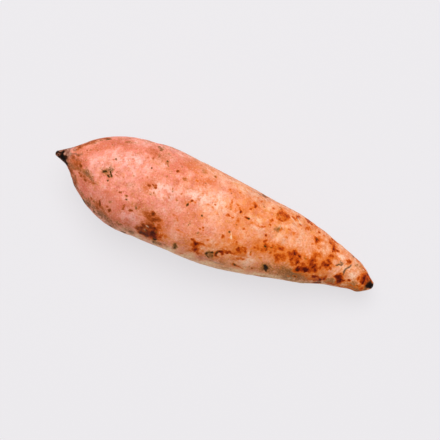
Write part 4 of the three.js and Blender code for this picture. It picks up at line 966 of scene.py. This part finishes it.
class SkinFinish(Finish):
    """The skin of the root, painted from the bare skin up. Each layer takes the colour under it and
    returns the colour with the layer on it."""

    def __init__(self):
        super().__init__("sweet_potato_skin")
        self.warmth = self.field("warmth")
        self.broad = self.noise(14, 2)
        self.mottle = self.noise(4.5, 3, 0.6, stretch=(0.8, 1.2, 1.2))
        self.blotches = self.noise(3.0, 3, 0.65, shift=3.0)
        self.streaks = self.noise(1.8, 3, 0.55, stretch=(0.8, 1.8, 1.8))
        self.grain = self.noise(0.9, 3, 0.65, shift=5.0)
        self.tinges = (self.noise(2.8, 2, 0.6, shift=11.0), self.noise(1.2, 2, 0.6, shift=17.0))
        self.pores = self.times(self.dots(3.2, 0.2), 0.65)
        # soil washes, some of them painted shade, together with the painted shade where the skin faces
        # down
        self.soil_and_shade = self.larger(self.broken_up("soil_and_shade", 1.3, 1.3), self.times(self.field("underside_shade"), 0.6))
        haze = self.times(self.times(self.warmth, self.blotches), 0.24)
        self.rust = self.plus(self.times(self.broken_up("rust", 0.9, 0.7), 0.95), haze)
        self.spots = self.larger(self.times(self.broken_up("spots", 0.3, 0.3), 0.9), self.pores)
        self.char = self.broken_up("char", 0.3, 0.3)

        shade = self.bare_skin()
        for layer in (self.worn_and_painted_light, self.dirt_and_painted_light, self.stained, self.marked, self.burnt):
            shade = layer(shade)
        self.feed(self.shader.inputs["Base Color"], shade)
        self.set_gloss()
        self.set_bump()

    def broken_up(self, name, blotchy, grainy):
        """A field with gaps and ragged edges: the field times one plus the two noises about their middle,
        which count for less the stronger the field is."""
        field = self.field(name)
        rough = self.plus(self.times(self.blotches, blotchy), self.times(self.grain, grainy))
        rough = self.minus(rough, (blotchy + grainy) / 2)
        rough = self.times(rough, self.minus(1.3, field))
        return self.times(field, self.plus(rough, 1.0))

    def bare_skin(self):
        """Salmon pink at the crown, peach and orange towards the tail, all mottled, with tinges of ochre
        and rose."""
        cloud = self.plus(self.times(self.broad, 0.45), self.times(self.mottle, 0.55))
        pink = self.ramp(
            cloud, (0.22, 204, 104, 78), (0.42, 232, 132, 110), (0.62, 252, 156, 136),
            (0.82, 255, 188, 172),
        )
        peach = self.ramp(
            cloud, (0.22, 212, 106, 46), (0.42, 234, 138, 84), (0.62, 250, 168, 118),
            (0.82, 255, 204, 166),
        )
        ochre = self.ramp(self.warmth, (0.2, 220, 136, 78), (0.8, 232, 146, 58))
        rose = self.ramp(self.warmth, (0.2, 252, 146, 138), (0.8, 250, 170, 148))
        shade = self.blend(self.warmth, pink, peach)
        for tinge in self.tinges:
            shade = self.blend(self.rise(tinge, 0.45, 0.95, 0.4), shade, ochre)
            shade = self.blend(self.rise(tinge, 0.55, 0.05, 0.32), shade, rose)
        return shade

    def worn_and_painted_light(self, shade):
        """Deeper flushes, partly painted shade; thin streaks; pale scuffs, partly painted highlights and
        painted light along the rims; and a fine grain of dark and light.
        """
        deep = self.ramp(self.warmth, (0.2, 208, 96, 60), (0.8, 226, 106, 42))
        pale = self.ramp(self.warmth, (0.0, 255, 194, 182), (0.5, 255, 204, 184), (1.0, 255, 212, 182))
        # flushes, some of them painted shade on the right half and on the shoulders by the stub
        flush_and_shade = self.times(self.field("flushes_and_shade"), self.rise(self.mottle, -0.2, 0.7, 0.9))
        # scuffs, some of them painted highlights on the top and painted light along the rims
        scuff_and_painted_light = self.times(self.field("scuffs_and_painted_light"), self.rise(self.blotches, 0.95, 0.1))
        shade = self.blend(flush_and_shade, shade, deep)
        shade = self.blend(self.rise(self.streaks, 0.45, 0.9, 0.36), shade, colour(216, 112, 74))
        shade = self.blend(scuff_and_painted_light, shade, pale)
        shade = self.blend(self.rise(self.grain, 0.55, 1.0, 0.5), shade, colour(172, 92, 30))
        return self.blend(self.rise(self.grain, 0.4, 0.0, 0.4), shade, colour(252, 202, 182))

    def dirt_and_painted_light(self, shade):
        """Pale dust, partly painted light bounced up from the floor, and soil that is ochre where it is
        thin and olive brown where it is thick, partly painted shade on the rims, the right flank, the
        shoulders and the underside.
        """
        # the pale band low on the right is dust and painted bounce light from the floor
        dust_and_bounce_light = self.times(self.field("dust_and_bounce_light"), self.rise(self.streaks, 1.3, 0.1, 0.95))
        # soil colours, which also paint the shade on the rims, the right flank, the shoulders and the
        # underside
        earth_and_shade = self.ramp(self.soil_and_shade, (0.15, 208, 140, 80), (0.45, 160, 102, 42), (0.9, 92, 64, 16))
        shade = self.blend(dust_and_bounce_light, shade, colour(255, 218, 168))
        return self.blend(self.rise(self.soil_and_shade, 0.0, 0.9, 0.85), shade, earth_and_shade, "DARKEN")

    def stained(self, shade):
        """Amber zones, and rust that is brown on the crown and orange on the tail."""
        amber = self.rise(self.broken_up("amber", 1.5, 0.8), 0.05, 0.85, 0.85)
        honey = self.ramp(self.blotches, (0.1, 236, 136, 64), (0.5, 220, 110, 30), (0.9, 190, 82, 6))
        brown = self.ramp(
            self.rust, (0.12, 214, 114, 74), (0.36, 190, 92, 44), (0.62, 152, 68, 20), (0.85, 108, 46, 6),
            (1.0, 62, 26, 2),
        )
        orange = self.ramp(
            self.rust, (0.1, 240, 144, 78), (0.34, 228, 114, 28), (0.6, 194, 76, 2), (0.82, 148, 44, 0),
            (1.0, 84, 12, 0),
        )
        iron = self.blend(self.rise(self.warmth, 0.0, 0.5), brown, orange)
        shade = self.blend(amber, shade, honey)
        return self.blend(self.rise(self.rust, 0.0, 0.55), shade, iron)

    def marked(self, shade):
        """Creases darkened grey-brown with painted shade, spots and pores that are nearly black in their
        middle, and pale flakes.
        """
        olive = self.ramp(
            self.spots, (0.12, 190, 120, 44), (0.32, 134, 84, 12), (0.6, 76, 42, 4), (0.95, 20, 10, 2)
        )
        flakes = self.broken_up("flakes", 0.4, 0.5)
        # painted shade: the creases darkened grey-brown
        shade = self.blend(self.rise(self.field("creases"), 0.1, 0.8, 0.85), shade, colour(92, 70, 52))
        shade = self.blend(self.rise(self.spots, 0.04, 0.6), shade, olive, "DARKEN")
        return self.blend(self.rise(flakes, 0.1, 0.8, 0.9), shade, colour(250, 210, 170))

    def burnt(self, shade):
        """The bark of the vine stub, and the charred ends."""
        bark = self.ramp(self.streaks, (0.1, 88, 46, 30), (0.5, 136, 84, 64), (0.9, 190, 144, 124))
        black = self.ramp(self.char, (0.2, 132, 72, 30), (0.5, 60, 26, 6), (0.8, 20, 6, 2), (1.0, 5, 2, 1))
        shade = self.blend(self.times(self.field("bark"), 0.9), shade, bark)
        return self.blend(self.rise(self.char, 0.05, 0.6), shade, black)

    def set_gloss(self):
        """Nearly matt skin, mottled, and rougher where it is soiled or painted with shade, rusty, spotted
        or charred.
        """
        marks = self.larger(self.larger(self.soil_and_shade, self.char), self.larger(self.rust, self.spots))
        roughness = self.plus(self.rise(self.mottle, 0.0, 1.0, 0.16), self.rise(marks, 0.1, 0.6, 0.18))
        self.feed(self.shader.inputs["Roughness"], self.plus(roughness, 0.4))
        self.shader.inputs["Specular IOR Level"].default_value = 0.1
        self.shader.inputs["Sheen Weight"].default_value = 0.04
        self.shader.inputs["Sheen Roughness"].default_value = 0.3
        self.shader.inputs["Sheen Tint"].default_value = colour(255, 236, 214)

    def set_bump(self):
        """A fine grain and streaks that stand up, and pores that are sunk."""
        heights = self.minus(self.plus(self.times(self.grain, 0.5), self.streaks), self.pores)
        bump = self.node("ShaderNodeBump", {"Height": heights, "Strength": 1.0, "Distance": 0.12 * MM})
        self.feed(self.shader.inputs["Normal"], bump.outputs["Normal"])


root = make_root()
root.data.materials.append(SkinFinish().material)
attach(root, "root")
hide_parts(NODE)

# --- Floor, light and camera -----------------------------------------------------------------------

VIEW_TURN = math.radians(22.4)  # how far the camera is rolled, which puts the crown up at the left
FOCAL_LENGTH = 170
SENSOR_WIDTH = 36
FLOOR_REACH = 20  # metres from the middle of the floor to each of its edges
FLOOR_GLOW = 0.82  # share of the floor that glows by itself to the camera
WORLD_LIGHT = 0.3


def rolled(right, up):
    """A place on the floor, in metres, from its distances right and up as the camera sees them."""
    cosine, sine = math.cos(VIEW_TURN), math.sin(VIEW_TURN)
    return right * cosine - up * sine, right * sine + up * cosine


def pale_floor():
    """A wide pale floor. To the camera it glows a little by itself, so that the shadow on it is faint."""
    corners = [(x * FLOOR_REACH, y * FLOOR_REACH, 0) for x, y in ((-1, -1), (1, -1), (1, 1), (-1, 1))]
    mesh = bpy.data.meshes.new("floor")
    mesh.from_pydata(corners, [], [(0, 1, 2, 3)])
    floor = bpy.data.objects.new("floor", mesh)
    bpy.context.scene.collection.objects.link(floor)
    paint = Finish("floor")
    pale = colour(235, 233, 236)
    paint.shader.inputs["Base Color"].default_value = pale
    paint.shader.inputs["Roughness"].default_value = 0.9
    paint.shader.inputs["Specular IOR Level"].default_value = 0.0
    glow = paint.node("ShaderNodeEmission", {"Color": pale, "Strength": 1.0})
    seen = paint.node("ShaderNodeLightPath", {}).outputs["Is Camera Ray"]
    mixed = paint.node("ShaderNodeMixShader", {
        "Fac": paint.times(seen, FLOOR_GLOW),
        1: paint.shader.outputs["BSDF"],
        2: glow.outputs["Emission"],
    })
    paint.feed(paint.tree.nodes["Material Output"].inputs["Surface"], mixed.outputs["Shader"])
    mesh.materials.append(paint.material)


def lamp(name, right, up, height, size, power):
    """A round lamp that faces the root, with its place and size in metres and its power in watts."""
    light = bpy.data.lights.new(name, "AREA")
    light.shape = "DISK"
    light.size = size
    light.energy = power
    holder = bpy.data.objects.new(name, light)
    holder.location = (*rolled(right, up), height)
    holder.rotation_euler = holder.location.to_track_quat("Z", "Y").to_euler()
    bpy.context.scene.collection.objects.link(holder)


def camera():
    """A long lens straight above the root."""
    lens = bpy.data.cameras.new("camera")
    lens.lens = FOCAL_LENGTH
    lens.sensor_width = SENSOR_WIDTH
    lens.clip_end = 100
    holder = bpy.data.objects.new("camera", lens)
    holder.location = EYE * MM
    holder.rotation_euler = (0, 0, VIEW_TURN)
    bpy.context.scene.collection.objects.link(holder)
    bpy.context.scene.camera = holder


def studio():
    """The light that comes from all round, and the way that colours are shown."""
    world = bpy.data.worlds.new("studio")
    world.use_nodes = True
    background = world.node_tree.nodes["Background"]
    background.inputs["Color"].default_value = (1, 1, 1, 1)
    background.inputs["Strength"].default_value = WORLD_LIGHT
    bpy.context.scene.world = world
    bpy.context.scene.view_settings.view_transform = "Standard"


studio()
pale_floor()
lamp("key", right=0, up=1.15, height=2.75, size=2.4, power=89)
camera()
